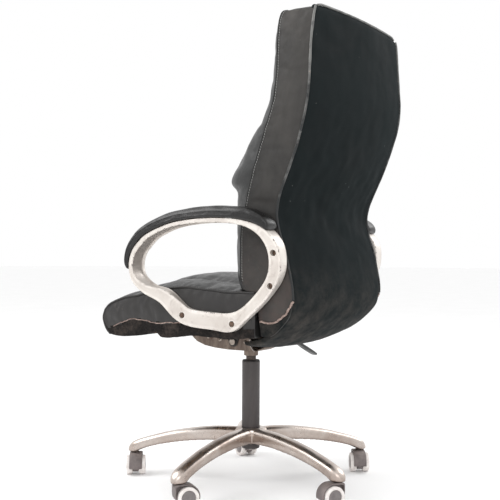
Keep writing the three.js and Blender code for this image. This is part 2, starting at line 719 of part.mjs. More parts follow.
// Each arm screw: [y, z, the arm's far face there, beyond its inner face].
const armScrews = [[-40, 475, 17], [113, 459, 17], [228, 557, 27], [245, 638, 38]];
const screwSink = 16; // the deepest a screw head lies below the arm's face

// One ring of samples for each of three curves that run round the loop together.
function armRings() {
  const steps = armLoop.length * loopSteps;
  const outer = sampled(armLoop.map((row) => v3(0, row[0], row[1])), steps, true);
  const inner = sampled(armLoop.map((row) => v3(0, row[2], row[3])), steps, true);
  const faces = sampled(armLoop.map((row) => v3(row[4], row[5], 0)), steps, true);
  return outer.map((point, i) => ({
    outer: point,
    inner: inner[i],
    near: armInner + faces[i].x,
    far: armInner + faces[i].y,
  }));
}

const armSamples = armRings();

function armFrame() {
  const corner = 0.16; // rounding, as a share of the band's smaller side
  const rings = armSamples.map(({ outer, inner, near, far }) => {
    const depth = inner.clone().sub(outer);
    const thin = Math.min(depth.length(), far - near) * corner * 2;
    const a = thin / depth.length();
    const b = thin / (far - near);
    const outline = [[a, 0], [1 - a, 0], [1, b], [1, 1 - b], [1 - a, 1], [a, 1], [0, 1 - b], [0, b]];
    return outline.map(([in_, across]) =>
      outer.clone().addScaledVector(depth, in_).setX(near + (far - near) * across));
  });
  const bores = armScrews.flatMap(([y, z]) => {
    const at = v3(0, y, z);
    return [
      cylinder("x", boltShank + gap, armInner - 5, armOuter, at, 10),
      cylinder("x", counterboreRadius, armInner + counterboreFloor, armOuter + 10, at, 16),
    ];
  });
  return cut(loft(rings, { closed: true }), ...bores);
}

function armPad() {
  const first = padFirst * loopSteps;
  const last = padLast * loopSteps;
  const heights = sampled(padHeights.map((height, i) => v3(i, height, 0)), last - first);
  const rings = [];
  for (let i = first; i <= last; i++) {
    const { outer, inner } = armSamples[i];
    const ends = Math.min(i - first, last - i);
    const up = outer.clone().sub(inner).normalize();
    const share = [0.45, 0.8, 1][Math.min(ends, 2)];
    const height = heights[i - first].y * share;
    const middle = (padInner + padOuter) / 2;
    const half = ((padOuter - padInner) / 2) * [0.86, 0.96, 1][Math.min(ends, 2)];
    const section = [[-0.92, 0], [-1, 0.25], [-0.96, 0.65], [-0.7, 0.94], [0, 1.06], [0.7, 0.94],
      [0.96, 0.65], [1, 0.25], [0.92, 0]];
    rings.push(section.map(([across, high]) =>
      outer.clone().addScaledVector(up, gap + high * height).setX(middle + across * half)));
  }
  return loft(rings, { flat: (p) => v2(p.x, p.y) });
}

function armScrew([y, z, beyond]) {
  const at = v3(0, y, z);
  const seat = armInner + counterboreFloor + gap;
  const deepest = Math.max(seat, armInner + beyond - screwSink);
  return union(
    cylinder("x", boltHead, deepest, deepest + boltHeadHeight, at, 12),
    cylinder("x", boltShank, armInner - armScrewReach, deepest + 1, at, 10),
  );
}

const armScrewBores = (side) =>
  armScrews.map(([y, z]) => {
    const reach = armInner - armScrewReach - 2;
    return cylinder("x", boltShank + gap, side * reach, side * (armInner + 20), v3(0, y, z), 10);
  });

function addSeatAndBack() {
  addPart("seat_plate", seatPlate(), darkSteel);
  plateBolts.forEach((at, i) => addPart(`seat_plate_bolt_${i + 1}`, plateBolt(at), zincSteel));
  addPart("seat_board", seatBoard(), plywood);
  const bores = [...armScrewBores(1), ...armScrewBores(-1)];
  addPart("seat_cushion", cut(seatCushion(), ...bores), seatLeather);
  addPart("back_shell", cut(backShell(), ...bores), rearSuede);
  addPart("back_cushion", cut(backCushion(), ...bores), backLeather);
}

function addArms() {
  const frame = armFrame();
  const pad = armPad();
  const screws = armScrews.map(armScrew);
  for (const [side, mirror] of [["left", [1, 1, 1]], ["right", [-1, 1, 1]]]) {
    addPart(`arm_frame_${side}`, frame.scale(mirror), armPaint);
    addPart(`arm_pad_${side}`, pad.scale(mirror), padLeather);
    screws.forEach((screw, i) => addPart(`arm_screw_${side}_${i + 1}`, screw.scale(mirror), zincSteel));
  }
}

// ---- Assembly --------------------------------------------------------------------------------

addPart("star_base", starBase(), polishedAluminium);
addCasters();
addGasLift();
addMechanism();
addSeatAndBack();
addArms();

// The origin is on the floor under the middle of the footprint.
chair.updateMatrixWorld(true);
const footprint = new THREE.Box3().setFromObject(chair, true).getCenter(v3(0, 0, 0));
chair.position.set(-footprint.x, -footprint.y, 0);

export default chair;
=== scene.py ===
import math

import bmesh
import bpy
import numpy as np
from mathutils import Matrix, Vector, noise
from mathutils.bvhtree import BVHTree


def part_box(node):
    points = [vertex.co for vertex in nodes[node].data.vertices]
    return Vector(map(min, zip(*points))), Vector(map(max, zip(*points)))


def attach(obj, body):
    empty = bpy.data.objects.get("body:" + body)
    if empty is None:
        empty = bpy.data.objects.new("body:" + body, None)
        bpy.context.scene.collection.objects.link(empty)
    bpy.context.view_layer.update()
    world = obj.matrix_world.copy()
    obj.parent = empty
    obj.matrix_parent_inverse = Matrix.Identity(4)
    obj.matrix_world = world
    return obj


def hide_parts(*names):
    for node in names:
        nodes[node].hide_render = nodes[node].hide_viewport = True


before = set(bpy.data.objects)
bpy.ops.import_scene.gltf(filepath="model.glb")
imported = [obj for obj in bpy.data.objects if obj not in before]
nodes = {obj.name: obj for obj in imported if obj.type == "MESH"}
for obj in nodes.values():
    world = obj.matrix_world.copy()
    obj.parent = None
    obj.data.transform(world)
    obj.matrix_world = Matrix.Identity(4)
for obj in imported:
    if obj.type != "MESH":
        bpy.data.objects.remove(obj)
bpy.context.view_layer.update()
scene = bpy.context.scene
tube_low, tube_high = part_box("column_tube")
ORIGIN = np.array([(tube_low.x + tube_high.x) / 2, (tube_low.y + tube_high.y) / 2, 0.0])


def place(points):
    return np.asarray(points, float) * 0.001 + ORIGIN


# ---- Curves and grids ------------------------------------------------------------------------


def smooth_curve(points, count, closed=False):
    """Evenly spaced samples of a Catmull-Rom curve through rows of numbers."""
    rows = np.asarray(points, float)
    if closed:
        rows = np.vstack([rows[-1], rows, rows[0], rows[1]])
    else:
        rows = np.vstack([2 * rows[0] - rows[1], rows, 2 * rows[-1] - rows[-2]])
    t = np.linspace(0, 1, 24, endpoint=False)[:, None]
    dense = []
    for a, b, c, d in zip(rows[:-3], rows[1:-2], rows[2:-1], rows[3:]):
        dense.append(0.5 * (2 * b + (c - a) * t + (2 * a - 5 * b + 4 * c - d) * t**2
                            + (3 * b - a - 3 * c + d) * t**3))
    dense = np.vstack([*dense, rows[-2][None]])
    steps = np.linalg.norm(np.diff(dense, axis=0), axis=1)
    along = np.concatenate([[0], np.cumsum(steps)])
    wanted = np.linspace(0, along[-1], count + 1)[:-1] if closed else np.linspace(0, along[-1], count)
    return np.stack([np.interp(wanted, along, dense[:, k]) for k in range(dense.shape[1])], axis=1)


def smoothstep(x):
    x = np.clip(x, 0, 1)
    return x * x * (3 - 2 * x)


def new_piece(name, points, faces, body, material, slot, replaces=(), smooth=True, placed=False):
    mesh = bpy.data.meshes.new(name)
    points = np.asarray(points, float)
    mesh.from_pydata((points if placed else place(points)).tolist(), [], [list(map(int, f)) for f in faces])
    mesh.validate()
    obj = bpy.data.objects.new(name, mesh)
    scene.collection.objects.link(obj)
    bm = bmesh.new()
    bm.from_mesh(mesh)
    bmesh.ops.recalc_face_normals(bm, faces=bm.faces)
    bm.to_mesh(mesh)
    bm.free()
    mesh.shade_smooth() if smooth else mesh.shade_flat()
    for entry in material if isinstance(material, list) else [material]:
        mesh.materials.append(entry)
    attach(obj, body)
    if replaces:
        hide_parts(*replaces)
    return obj


def modifier(obj, kind, **settings):
    made = obj.modifiers.new(kind.lower(), kind)
    for key, value in settings.items():
        setattr(made, key, value)
    return made


def apply_modifiers(obj):
    """Bakes every modifier into the mesh and keeps the materials."""
    evaluated = obj.evaluated_get(bpy.context.evaluated_depsgraph_get())
    mesh = bpy.data.meshes.new_from_object(evaluated)
    old = obj.data
    obj.modifiers.clear()
    obj.data = mesh
    bpy.data.meshes.remove(old)
    return obj


def crisp(obj, angle=35):
    """Smooth shading with sharp edges over an angle."""
    obj.data.shade_smooth()
    obj.data.set_sharp_from_angle(angle=math.radians(angle))
    return obj


def ring_faces(rings, count, closed_rings=False, caps=True):
    """Faces over a stack of rings of `count` points."""
    faces = []
    for i in range(rings if closed_rings else rings - 1):
        a, b = i * count, ((i + 1) % rings) * count
        for j in range(count):
            k = (j + 1) % count
            faces.append((a + j, a + k, b + k, b + j))
    if caps and not closed_rings:
        faces.append(tuple(range(count)))
        faces.append(tuple((rings - 1) * count + j for j in range(count)))
    return faces


def lathe(profile, segments, axis="z", at=(0, 0, 0)):
    """Points and faces of a closed profile of [radius, height] turned about an axis."""
    profile = np.asarray(profile, float)
    angles = np.linspace(0, 2 * math.pi, segments, endpoint=False)
    rings = []
    for angle in angles:
        r, h = profile[:, 0], profile[:, 1]
        x, y = r * math.cos(angle), r * math.sin(angle)
        rings.append({"z": np.stack([x, y, h], 1), "x": np.stack([h, x, y], 1),
                      "y": np.stack([y, h, x], 1)}[axis])
    points = np.vstack(rings) + np.asarray(at, float)
    return points, ring_faces(segments, len(profile), closed_rings=True)


def joined(*parts):
    """Several (points, faces) as one."""
    points, faces, start = [], [], 0
    for p, f in parts:
        points.append(np.asarray(p, float))
        faces += [tuple(i + start for i in face) for face in f]
        start += len(p)
    return np.vstack(points), faces


def tube(path, radius, sides=10, closed=False):
    """Points and faces of a round tube along a path. radius may be one number or one per point."""
    path = np.asarray(path, float)
    count = len(path)
    radii = np.broadcast_to(np.asarray(radius, float), (count,))
    ahead = np.roll(path, -1, 0) - np.roll(path, 1, 0)
    if not closed:
        ahead[0], ahead[-1] = path[1] - path[0], path[-1] - path[-2]
    ahead /= np.linalg.norm(ahead, axis=1)[:, None] + 1e-12
    side = np.cross(ahead[0], [0.3, 0.1, 1.0])
    points = []
    for i in range(count):
        side = side - ahead[i] * np.dot(side, ahead[i])
        side /= np.linalg.norm(side)
        up = np.cross(ahead[i], side)
        for k in range(sides):
            angle = 2 * math.pi * k / sides
            points.append(path[i] + radii[i] * (math.cos(angle) * side + math.sin(angle) * up))
    return np.array(points), ring_faces(count, sides, closed_rings=closed)


def fractal(points, scale, seed=0.0, octaves=3):
    """Smooth noise from -1 to 1 at points in millimetres."""
    out = np.empty(len(points))
    for i, p in enumerate(points):
        v = Vector((p[0] / scale + seed, p[1] / scale - seed, p[2] / scale + 2 * seed))
        out[i] = noise.fractal(v, 0.6, 2.0, octaves)
    return out


# ---- Materials -------------------------------------------------------------------------------


def tone(r, g, b):
    """A colour given as 0 to 255, in linear light."""
    def linear(c):
        c = c / 255
        return c / 12.92 if c <= 0.04045 else ((c + 0.055) / 1.055) ** 2.4
    return (linear(r), linear(g), linear(b), 1.0)


class Surface:
    """A procedural material on Principled BSDF, in the piece's own coordinates (metres)."""

    def __init__(self, name, roughness=0.5, metallic=0.0, **sockets):
        self.material = bpy.data.materials.new(name)
        self.material.use_nodes = True
        self.tree = self.material.node_tree
        self.bsdf = self.tree.nodes["Principled BSDF"]
        self.coords = self.node("ShaderNodeTexCoord").outputs["Object"]
        self.height = None
        self.bsdf.inputs["Roughness"].default_value = roughness
        self.bsdf.inputs["Metallic"].default_value = metallic
        for key, value in sockets.items():
            self.bsdf.inputs[key.replace("_", " ")].default_value = value

    def node(self, kind, **settings):
        made = self.tree.nodes.new(kind)
        for key, value in settings.items():
            setattr(made, key, value)
        return made

    def feed(self, socket, value):
        if isinstance(value, bpy.types.NodeSocket):
            self.tree.links.new(value, socket)
        else:
            socket.default_value = value

    def stretched(self, stretch):
        mapping = self.node("ShaderNodeMapping")
        mapping.inputs["Scale"].default_value = stretch
        self.feed(mapping.inputs["Vector"], self.coords)
        return mapping.outputs["Vector"]

    def noise(self, scale, detail=3.0, rough=0.55, distortion=0.0, stretch=None):
        made = self.node("ShaderNodeTexNoise")
        self.feed(made.inputs["Vector"], self.stretched(stretch) if stretch else self.coords)
        for key, value in (("Scale", scale), ("Detail", detail), ("Roughness", rough),
            ("Distortion", distortion)):
            made.inputs[key].default_value = value
        return made.outputs["Fac"]

    def cells(self, scale, feature="DISTANCE_TO_EDGE", stretch=None):
        made = self.node("ShaderNodeTexVoronoi", feature=feature)
        self.feed(made.inputs["Vector"], self.stretched(stretch) if stretch else self.coords)
        made.inputs["Scale"].default_value = scale
        return made.outputs["Distance"]

    def attribute(self, name):
        return self.node("ShaderNodeAttribute", attribute_name=name).outputs["Fac"]

    def normal_z(self):
        geometry = self.node("ShaderNodeNewGeometry")
        parts = self.node("ShaderNodeSeparateXYZ")
        self.feed(parts.inputs[0], geometry.outputs["Normal"])
        return parts.outputs["Z"]

    def position_z(self):
        parts = self.node("ShaderNodeSeparateXYZ")
        self.feed(parts.inputs[0], self.coords)
        return parts.outputs["Z"]

    def ramp(self, factor, stops, interpolation="LINEAR"):
        made = self.node("ShaderNodeValToRGB")
        made.color_ramp.interpolation = interpolation
        elements = made.color_ramp.elements
        while len(elements) < len(stops):
            elements.new(0.5)
        for element, (position, value) in zip(elements, stops):
            element.position = position
            element.color = value if isinstance(value, tuple) else (value, value, value, 1.0)
        self.feed(made.inputs["Fac"], factor)
        return made.outputs["Color"]

    def between(self, value, low, high, out_low=0.0, out_high=1.0):
        made = self.node("ShaderNodeMapRange", clamp=True)
        for key, number in (("From Min", low), ("From Max", high), ("To Min", out_low), ("To Max", out_high)):
            made.inputs[key].default_value = number
        self.feed(made.inputs["Value"], value)
        return made.outputs["Result"]

    def math(self, operation, a, b=0.0):
        made = self.node("ShaderNodeMath", operation=operation)
        self.feed(made.inputs[0], a)
        self.feed(made.inputs[1], b)
        return made.outputs[0]

    def mix(self, factor, a, b, blend="MIX"):
        made = self.node("ShaderNodeMix", data_type="RGBA", blend_type=blend)
        self.feed(made.inputs[0], factor)
        self.feed(made.inputs[6], a)
        self.feed(made.inputs[7], b)
        return made.outputs[2]

    def color(self, value):
        self.feed(self.bsdf.inputs["Base Color"], value)
        return self

    def roughness(self, value):
        self.feed(self.bsdf.inputs["Roughness"], value)
        return self

    def bump(self, height, distance, strength=1.0):
        made = self.node("ShaderNodeBump")
        made.inputs["Distance"].default_value = distance
        made.inputs["Strength"].default_value = strength
        self.feed(made.inputs["Height"], height)
        if self.height is not None:
            self.feed(made.inputs["Normal"], self.height)
        self.height = made.outputs["Normal"]
        self.feed(self.bsdf.inputs["Normal"], self.height)
        return self


def leather(name, dark, mid, light, rough=(0.38, 0.6), grain=620, dust=0.25, crease=0.0012):
    s = Surface(name, Specular_IOR_Level=0.45)
    broad = s.noise(7, 4, 0.6, 0.4)
    fine = s.noise(60, 5, 0.65)
    base = s.ramp(broad, [(0.3, dark), (0.55, mid), (0.75, light)])
    base = s.mix(s.between(fine, 0.35, 0.75, 0.0, 0.5), base, mid)
    scuffs = s.between(s.noise(34, 8, 0.75, 1.2, stretch=(1, 1, 0.5)), 0.6, 0.74)
    dusty = s.math("MULTIPLY", scuffs, dust)
    base = s.mix(dusty, base, tone(120, 112, 106))
    s.color(base)
    s.roughness(s.between(fine, 0.3, 0.7, *rough))
    s.bump(s.noise(22, 5, 0.6, 0.8), crease, 0.6)
    s.bump(s.cells(grain), 0.00035, 0.5)
    return s.material


def plastic(name, dark, light, rough=0.5, dust=0.3, dust_tone=(150, 140, 132), scale=30):
    s = Surface(name)
    patches = s.noise(scale, 5, 0.6)
    base = s.ramp(patches, [(0.35, dark), (0.7, light)])
    top = s.between(s.normal_z(), 0.2, 1.0)
    settled = s.math("MULTIPLY", s.math("MULTIPLY", top, s.between(s.noise(90, 6, 0.7), 0.35, 0.7)), dust)
    s.color(s.mix(settled, base, tone(*dust_tone)))
    s.roughness(s.between(patches, 0.3, 0.7, rough - 0.1, rough + 0.15))
    s.bump(s.noise(900, 2, 0.5), 0.0001, 0.35)
    return s.material


def metal(name, dark, light, rough=(0.25, 0.5), scale=14, metallic=1.0, grain=(1, 1, 1), stain=0.3,
          stain_tone=(96, 70, 52)):
    s = Surface(name, metallic=metallic)
    patches = s.noise(scale, 6, 0.65, 0.6, stretch=grain)
    base = s.ramp(patches, [(0.3, dark), (0.7, light)])
    spots = s.between(s.noise(scale * 5, 8, 0.75, 0.5), 0.6, 0.7)
    s.color(s.mix(s.math("MULTIPLY", spots, stain), base, tone(*stain_tone)))
    s.roughness(s.between(s.noise(scale * 2.5, 6, 0.7), 0.3, 0.7, *rough))
    s.bump(s.noise(500, 3, 0.6), 0.00008, 0.4)
    return s.material


def cast_aluminium():
    s = Surface("cast_aluminium", metallic=1.0)
    broad = s.noise(9, 5, 0.6, 0.7)
    base = s.ramp(broad, [(0.3, tone(176, 160, 150)), (0.52, tone(205, 194, 186)),
        (0.75, tone(226, 219, 213))])
    # painted shade: faces that turn sideways or downwards are mixed towards a darker brown, standing in for
    # the shade the lighting gives them
    low = s.between(s.normal_z(), -0.5, 0.55)
    base = s.mix(s.between(low, 0.0, 1.0, 0.75, 0.0), base, tone(120, 100, 90))
    wear = s.between(s.noise(120, 9, 0.8, 0.4, stretch=(1, 1, 0.6)), 0.6, 0.68)
    base = s.mix(s.math("MULTIPLY", wear, 0.55), base, tone(92, 78, 70))
    chips = s.between(s.noise(260, 3, 0.6), 0.68, 0.71)
    base = s.mix(s.math("MULTIPLY", chips, 0.8), base, tone(60, 50, 45))
    s.color(base)
    s.roughness(s.between(s.noise(26, 6, 0.7, 0.5), 0.3, 0.72, 0.2, 0.42))
    s.bump(s.noise(14, 4, 0.5), 0.0012, 0.35)
    s.bump(s.noise(420, 4, 0.6), 0.00012, 0.5)
    return s.material


def suede():
    s = Surface("rear_suede", Specular_IOR_Level=0.12, Sheen_Weight=0.05, Sheen_Roughness=0.6)
    s.bsdf.inputs["Sheen Tint"].default_value = tone(120, 135, 140)
    nap = s.noise(5, 5, 0.6, 1.0)
    base = s.ramp(nap, [(0.3, tone(10, 15, 16)), (0.55, tone(14, 20, 21)), (0.8, tone(21, 27, 28))])
    haze = s.between(s.noise(2.6, 5, 0.65, 0.6), 0.54, 0.8, 0.0, 0.3)
    base = s.mix(haze, base, tone(44, 49, 51))
    low = s.between(s.position_z(), 0.40, 0.62, 0.22, 0.0)
    base = s.mix(s.math("MULTIPLY", low, s.between(s.noise(18, 7, 0.75), 0.4, 0.7)), base,
        tone(140, 128, 120))
    specks = s.between(s.cells(46, "F1"), 0.03, 0.045, 1.0, 0.0)
    kept = s.between(s.noise(8, 2, 0.5), 0.56, 0.6)
    base = s.mix(s.math("MULTIPLY", s.math("MULTIPLY", specks, kept), 0.8), base, tone(168, 170, 168))
    s.color(base)
    s.roughness(s.between(nap, 0.3, 0.7, 0.8, 0.98))
    s.bump(s.noise(1400, 3, 0.7), 0.0002, 0.6)
    s.bump(s.noise(9, 3, 0.5, 0.5), 0.004, 0.35)
    return s.material


def gusset_leather():
    s = Surface("gusset_leather", Specular_IOR_Level=0.3)
    broad = s.noise(6, 5, 0.6, 0.5, stretch=(1, 1, 0.6))
    base = s.ramp(broad, [(0.3, tone(42, 41, 40)), (0.5, tone(56, 54, 52)), (0.72, tone(72, 69, 66))])
    soot = s.between(s.attribute("seam"), 0.0, 1.0, 0.0, 0.55)
    base = s.mix(soot, base, tone(22, 22, 22))
    scuffs = s.between(s.noise(42, 8, 0.75, 1.5, stretch=(1, 1, 0.5)), 0.62, 0.72, 0.0, 0.35)
    base = s.mix(scuffs, base, tone(104, 97, 91))
    low = s.between(s.position_z(), 0.45, 0.72, 0.75, 0.0)
    grime = s.between(s.noise(24, 8, 0.7, 0.8), 0.35, 0.65)
    base = s.mix(s.math("MULTIPLY", low, grime), base, tone(72, 60, 56))
    s.color(base)
    s.roughness(s.between(s.noise(55, 5, 0.6), 0.3, 0.7, 0.5, 0.72))
    s.bump(s.noise(16, 4, 0.6, 0.8), 0.0016, 0.5)
    s.bump(s.cells(560), 0.0003, 0.5)
    return s.material


def arm_paint():
    s = Surface("arm_paint", Coat_Weight=0.15, Coat_Roughness=0.3)
    broad = s.noise(11, 5, 0.6, 0.6)
    base = s.ramp(broad, [(0.3, tone(204, 196, 189)), (0.55, tone(226, 220, 213)),
        (0.8, tone(240, 235, 230))])
    smear = s.between(s.noise(28, 8, 0.7, 1.2, stretch=(0.5, 1, 1)), 0.55, 0.75, 0.0, 0.55)
    base = s.mix(smear, base, tone(150, 136, 128))
    edge = s.attribute("edge")
    grime = s.math("MULTIPLY", s.between(s.noise(70, 9, 0.8, 0.6), 0.42, 0.62), edge)
    base = s.mix(s.math("MULTIPLY", grime, 0.55), base, tone(112, 96, 88))
    chipped = s.between(s.math("ADD", s.noise(95, 8, 0.75, 0.4), s.math("MULTIPLY", edge, 0.19)), 0.71, 0.735)
    base = s.mix(chipped, base, tone(54, 46, 44))
    # painted shade: the band's recessed hollow is mixed towards a darker grey-brown, as if shade fell in it
    hollow = s.attribute("hollow")
    base = s.mix(s.math("MULTIPLY", hollow, 0.42), base, tone(136, 122, 114))
    s.color(base)
    s.feed(s.bsdf.inputs["Metallic"], s.between(chipped, 0, 1, 0.4, 0.0))
    s.roughness(s.between(s.noise(40, 6, 0.7), 0.3, 0.7, 0.28, 0.5))
    s.bump(s.math("MULTIPLY", chipped, -1.0), 0.0004, 0.8)
    s.bump(s.noise(30, 3, 0.5), 0.0006, 0.3)
    return s.material


def dusty_steel():
    s = Surface("dusty_steel", metallic=0.35)
    streaks = s.noise(48, 7, 0.7, 0.4, stretch=(1, 1, 0.22))
    base = s.ramp(streaks, [(0.3, tone(84, 70, 62)), (0.5, tone(126, 112, 102)), (0.72, tone(170, 156, 144))])
    rust = s.between(s.noise(34, 8, 0.8, 0.6), 0.56, 0.66, 0.0, 0.7)
    base = s.mix(rust, base, tone(88, 58, 44))
    s.color(base)
    s.roughness(s.between(streaks, 0.3, 0.7, 0.55, 0.85))
    s.bump(s.noise(240, 6, 0.7), 0.0003, 0.6)
    return s.material


def plywood():
    s = Surface("plywood", roughness=0.8)
    rings = s.noise(5, 4, 0.5, 1.5, stretch=(1, 8, 1))
    base = s.ramp(rings, [(0.35, tone(128, 96, 62)), (0.5, tone(160, 124, 84)), (0.7, tone(178, 142, 98))])
    s.color(base)
    s.bump(s.noise(60, 6, 0.7, 0.3, stretch=(1, 9, 1)), 0.0004, 0.5)
    return s.material


def under_cloth():
    s = Surface("under_cloth", roughness=0.95, Specular_IOR_Level=0.1)
    weave = s.noise(300, 4, 0.7)
    base = s.ramp(weave, [(0.35, tone(20, 19, 19)), (0.7, tone(44, 41, 40))])
    dust = s.between(s.noise(20, 7, 0.75), 0.5, 0.7, 0.0, 0.4)
    s.color(s.mix(dust, base, tone(92, 82, 76)))
    s.bump(weave, 0.0003, 0.7)
    return s.material


def thread(name, dark, light):
    s = Surface(name, roughness=0.8)
    twist = s.noise(500, 3, 0.6)
    s.color(s.ramp(twist, [(0.35, dark), (0.65, light)]))
    s.bump(twist, 0.0002, 0.8)
    return s.material


def piping_leather():
    s = Surface("piping_leather")
    # paler grey where worn and towards the top: partly real wear, partly a painted highlight where the upper
    # piping catches the light
    wear_and_highlight = s.between(s.math("ADD", s.noise(14, 8, 0.7, 0.6), s.between(s.position_z(), 0.8, 1.15, -0.12,
        0.1)),
                     0.42, 0.62)
    base = s.mix(wear_and_highlight, tone(26, 28, 29), tone(104, 104, 102))
    torn = s.between(s.noise(30, 9, 0.8, 0.5), 0.62, 0.66, 0.0, 0.8)
    s.color(s.mix(torn, base, tone(150, 132, 122)))
    s.roughness(s.between(wear_and_highlight, 0, 1, 0.6, 0.42))
    s.bump(s.noise(160, 6, 0.7), 0.0005, 0.5)
    return s.material


def torn_piping():
    s = Surface("torn_piping", roughness=0.85)
    frayed = s.noise(70, 9, 0.8, 0.5)
    s.color(s.ramp(frayed, [(0.35, tone(72, 60, 56)), (0.5, tone(138, 118, 110)),
        (0.65, tone(188, 170, 160))]))
    s.bump(frayed, 0.0012, 0.8)
    return s.material


M = {
    "aluminium": cast_aluminium(),
    "column": metal("column_paint", tone(54, 50, 50), tone(84, 79, 78), (0.42, 0.6), 12, 0.25,
                    (1, 1, 0.25), 0.35, (104, 92, 84)),
    "cylinder": metal("dull_cylinder", tone(70, 62, 58), tone(120, 110, 104), (0.35, 0.6), 30, 0.8,
        (1, 1, 1), 0.5),
    "bright": metal("bright_steel", tone(150, 144, 140), tone(196, 190, 186), (0.22, 0.4), 30),
    "zinc": metal("zinc_steel", tone(134, 122, 112), tone(186, 176, 166), (0.3, 0.5), 40, 1.0, (1, 1, 1),
        0.55),
    "rusty": metal("rusty_screw", tone(74, 56, 46), tone(128, 108, 94), (0.5, 0.75), 120, 0.7, (1, 1, 1),
        0.7),
    "dusty": dusty_steel(),
    "plate": metal("plate_paint", tone(34, 32, 32), tone(64, 60, 58), (0.5, 0.7), 18, 0.2, (1, 1, 1), 0.4,
                   (98, 84, 74)),
    "black": plastic("black_plastic", tone(18, 20, 19), tone(34, 37, 35), 0.42, 0.35),
    "guide": plastic("guide_plastic", tone(28, 28, 30), tone(48, 46, 48), 0.5, 0.4),
    "hood": plastic("hood_plastic", tone(92, 84, 83), tone(124, 114, 112), 0.5, 0.35, (170, 158, 150)),
    "rim": plastic("wheel_rim", tone(60, 54, 54), tone(86, 78, 77), 0.5, 0.2),
    "wheel": plastic("wheel_white", tone(214, 206, 202), tone(240, 236, 233), 0.45, 0.15, (150, 136, 128),
        70),
    "cap": plastic("hub_cap", tone(98, 92, 92), tone(132, 125, 124), 0.4, 0.25, (160, 150, 144)),
    "plywood": plywood(),
    "cloth": under_cloth(),
    "suede": suede(),
    "gusset": gusset_leather(),
    "front": leather("front_leather", tone(12, 13, 13), tone(20, 21, 21), tone(32, 33, 33), (0.26, 0.46),
        dust=0.12),
    "seat": leather("seat_leather", tone(17, 16, 16), tone(27, 26, 26), tone(42, 40, 39), (0.26, 0.46),
        dust=0.16),
    "side": leather("seat_side_leather", tone(26, 24, 24), tone(40, 38, 37), tone(58, 55, 53), (0.36, 0.56),
        dust=0.25),
    "pad": leather("pad_leather", tone(12, 12, 12), tone(20, 19, 19), tone(34, 32, 32), (0.22, 0.42),
        dust=0.14),
    "piping": piping_leather(),
    "torn": torn_piping(),
    "thread": thread("pale_thread", tone(104, 104, 103), tone(142, 142, 140)),
    "dark_thread": thread("dark_thread", tone(58, 57, 56), tone(84, 82, 80)),
    "arm": arm_paint(),
}


# ---- Camera, light and floor -----------------------------------------------------------------


def add_camera():
    turn = math.radians(31.887)
    back = Vector((math.cos(turn), math.sin(turn), 0))
    eye = Vector(ORIGIN) + back * 2.655 + Vector((0, 0, 0.650))
    right = Vector((-math.sin(turn), math.cos(turn), 0))
    ahead = -back
    up = Vector((0, 0, 1))
    yaw, pitch, roll = (math.radians(a) for a in (-0.096, -0.137, 0.272))
    right, ahead = (math.cos(yaw) * right - math.sin(yaw) * ahead,
        math.sin(yaw) * right + math.cos(yaw) * ahead)
    ahead, up = (math.cos(pitch) * ahead + math.sin(pitch) * up,
        -math.sin(pitch) * ahead + math.cos(pitch) * up)
    right, up = (math.cos(roll) * right + math.sin(roll) * up, -math.sin(roll) * right + math.cos(roll) * up)
    data = bpy.data.cameras.new("camera")
    data.sensor_width = 36
    data.lens = 68.2
    camera = bpy.data.objects.new("camera", data)
    scene.collection.objects.link(camera)
    camera.matrix_world = Matrix.Translation(eye) @ Matrix((right, up, -ahead)).transposed().to_4x4()
    scene.camera = camera


def add_light(name, location, size, power, color=(1, 1, 1)):
    data = bpy.data.lights.new(name, "AREA")
    data.shape = "RECTANGLE"
    data.size, data.size_y = size
    data.energy = power
    data.color = color
    lamp = bpy.data.objects.new(name, data)
    scene.collection.objects.link(lamp)
    lamp.location = location
    lamp.rotation_euler = (Vector((0, 0, 0.55)) - Vector(location)).to_track_quat("-Z", "Y").to_euler()


def add_stage():
    world = bpy.data.worlds.new("studio")
    scene.world = world
    world.use_nodes = True
    world.node_tree.nodes["Background"].inputs["Color"].default_value = (1.0, 1.0, 1.0, 1.0)
    world.node_tree.nodes["Background"].inputs["Strength"].default_value = 1.0
    floor = Surface("pale_floor", roughness=0.95, Specular_IOR_Level=0.05)
    grain = floor.noise(3, 1, 0.5)
    floor.color(floor.ramp(grain, [(0.3, tone(250, 250, 250)), (0.7, tone(252, 252, 252))]))
    points, faces = lathe([[0, 0], [30000, 0], [30000, -10], [0, -10]], 64)
    mesh = bpy.data.meshes.new("floor")
    mesh.from_pydata((points * 0.001).tolist(), [], faces)
    obj = bpy.data.objects.new("floor", mesh)
    mesh.materials.append(floor.material)
    scene.collection.objects.link(obj)
    add_light("key", (1.6, -2.4, 3.2), (2.4, 2.4), 70)
    add_light("fill", (3.4, 2.2, 2.4), (2.6, 2.0), 42)
    add_light("rim", (-3.0, 1.6, 2.8), (2.0, 2.0), 40)


add_camera()
add_stage()
scene.view_settings.view_transform = "Standard"


# ---- Base ------------------------------------------------------------------------------------

STEM_CIRCLE = 340
ARM_STATIONS = [
    [30, 148, 108, 24], [70, 147.5, 109, 23.5], [106, 146, 109, 23], [150, 141, 106, 22.5],
        [194, 134, 101, 22],
    [235, 126, 94, 21.5], [272, 116, 86, 21], [300, 108, 78, 20.8], [319, 102, 71, 20.5], [338, 95, 62, 20.5],
    [350, 88, 62, 17.5], [358, 80, 62, 12], [363, 71, 62, 6],
]


def arm_ring(along, top, bottom, half):
    """The outline of an arm's section: flat below, low sides leaning in, a ridge, and a rounded back."""
    height = top - bottom
    angles = np.linspace(0, math.pi, 19)
    across = np.sign(np.cos(angles)) * np.abs(np.cos(angles)) ** 0.75
    up = 0.42 + 0.58 * np.sin(angles) ** 0.85
    left = [[1.0, 0.42], [1.02, 0.2], [0.98, 0.0]]
    shape = left[::-1] + [[a, u] for a, u in zip(across, up)] + [[-a, u] for a, u in left]
    return np.array([[along, a * half, bottom + u * height] for a, u in shape])


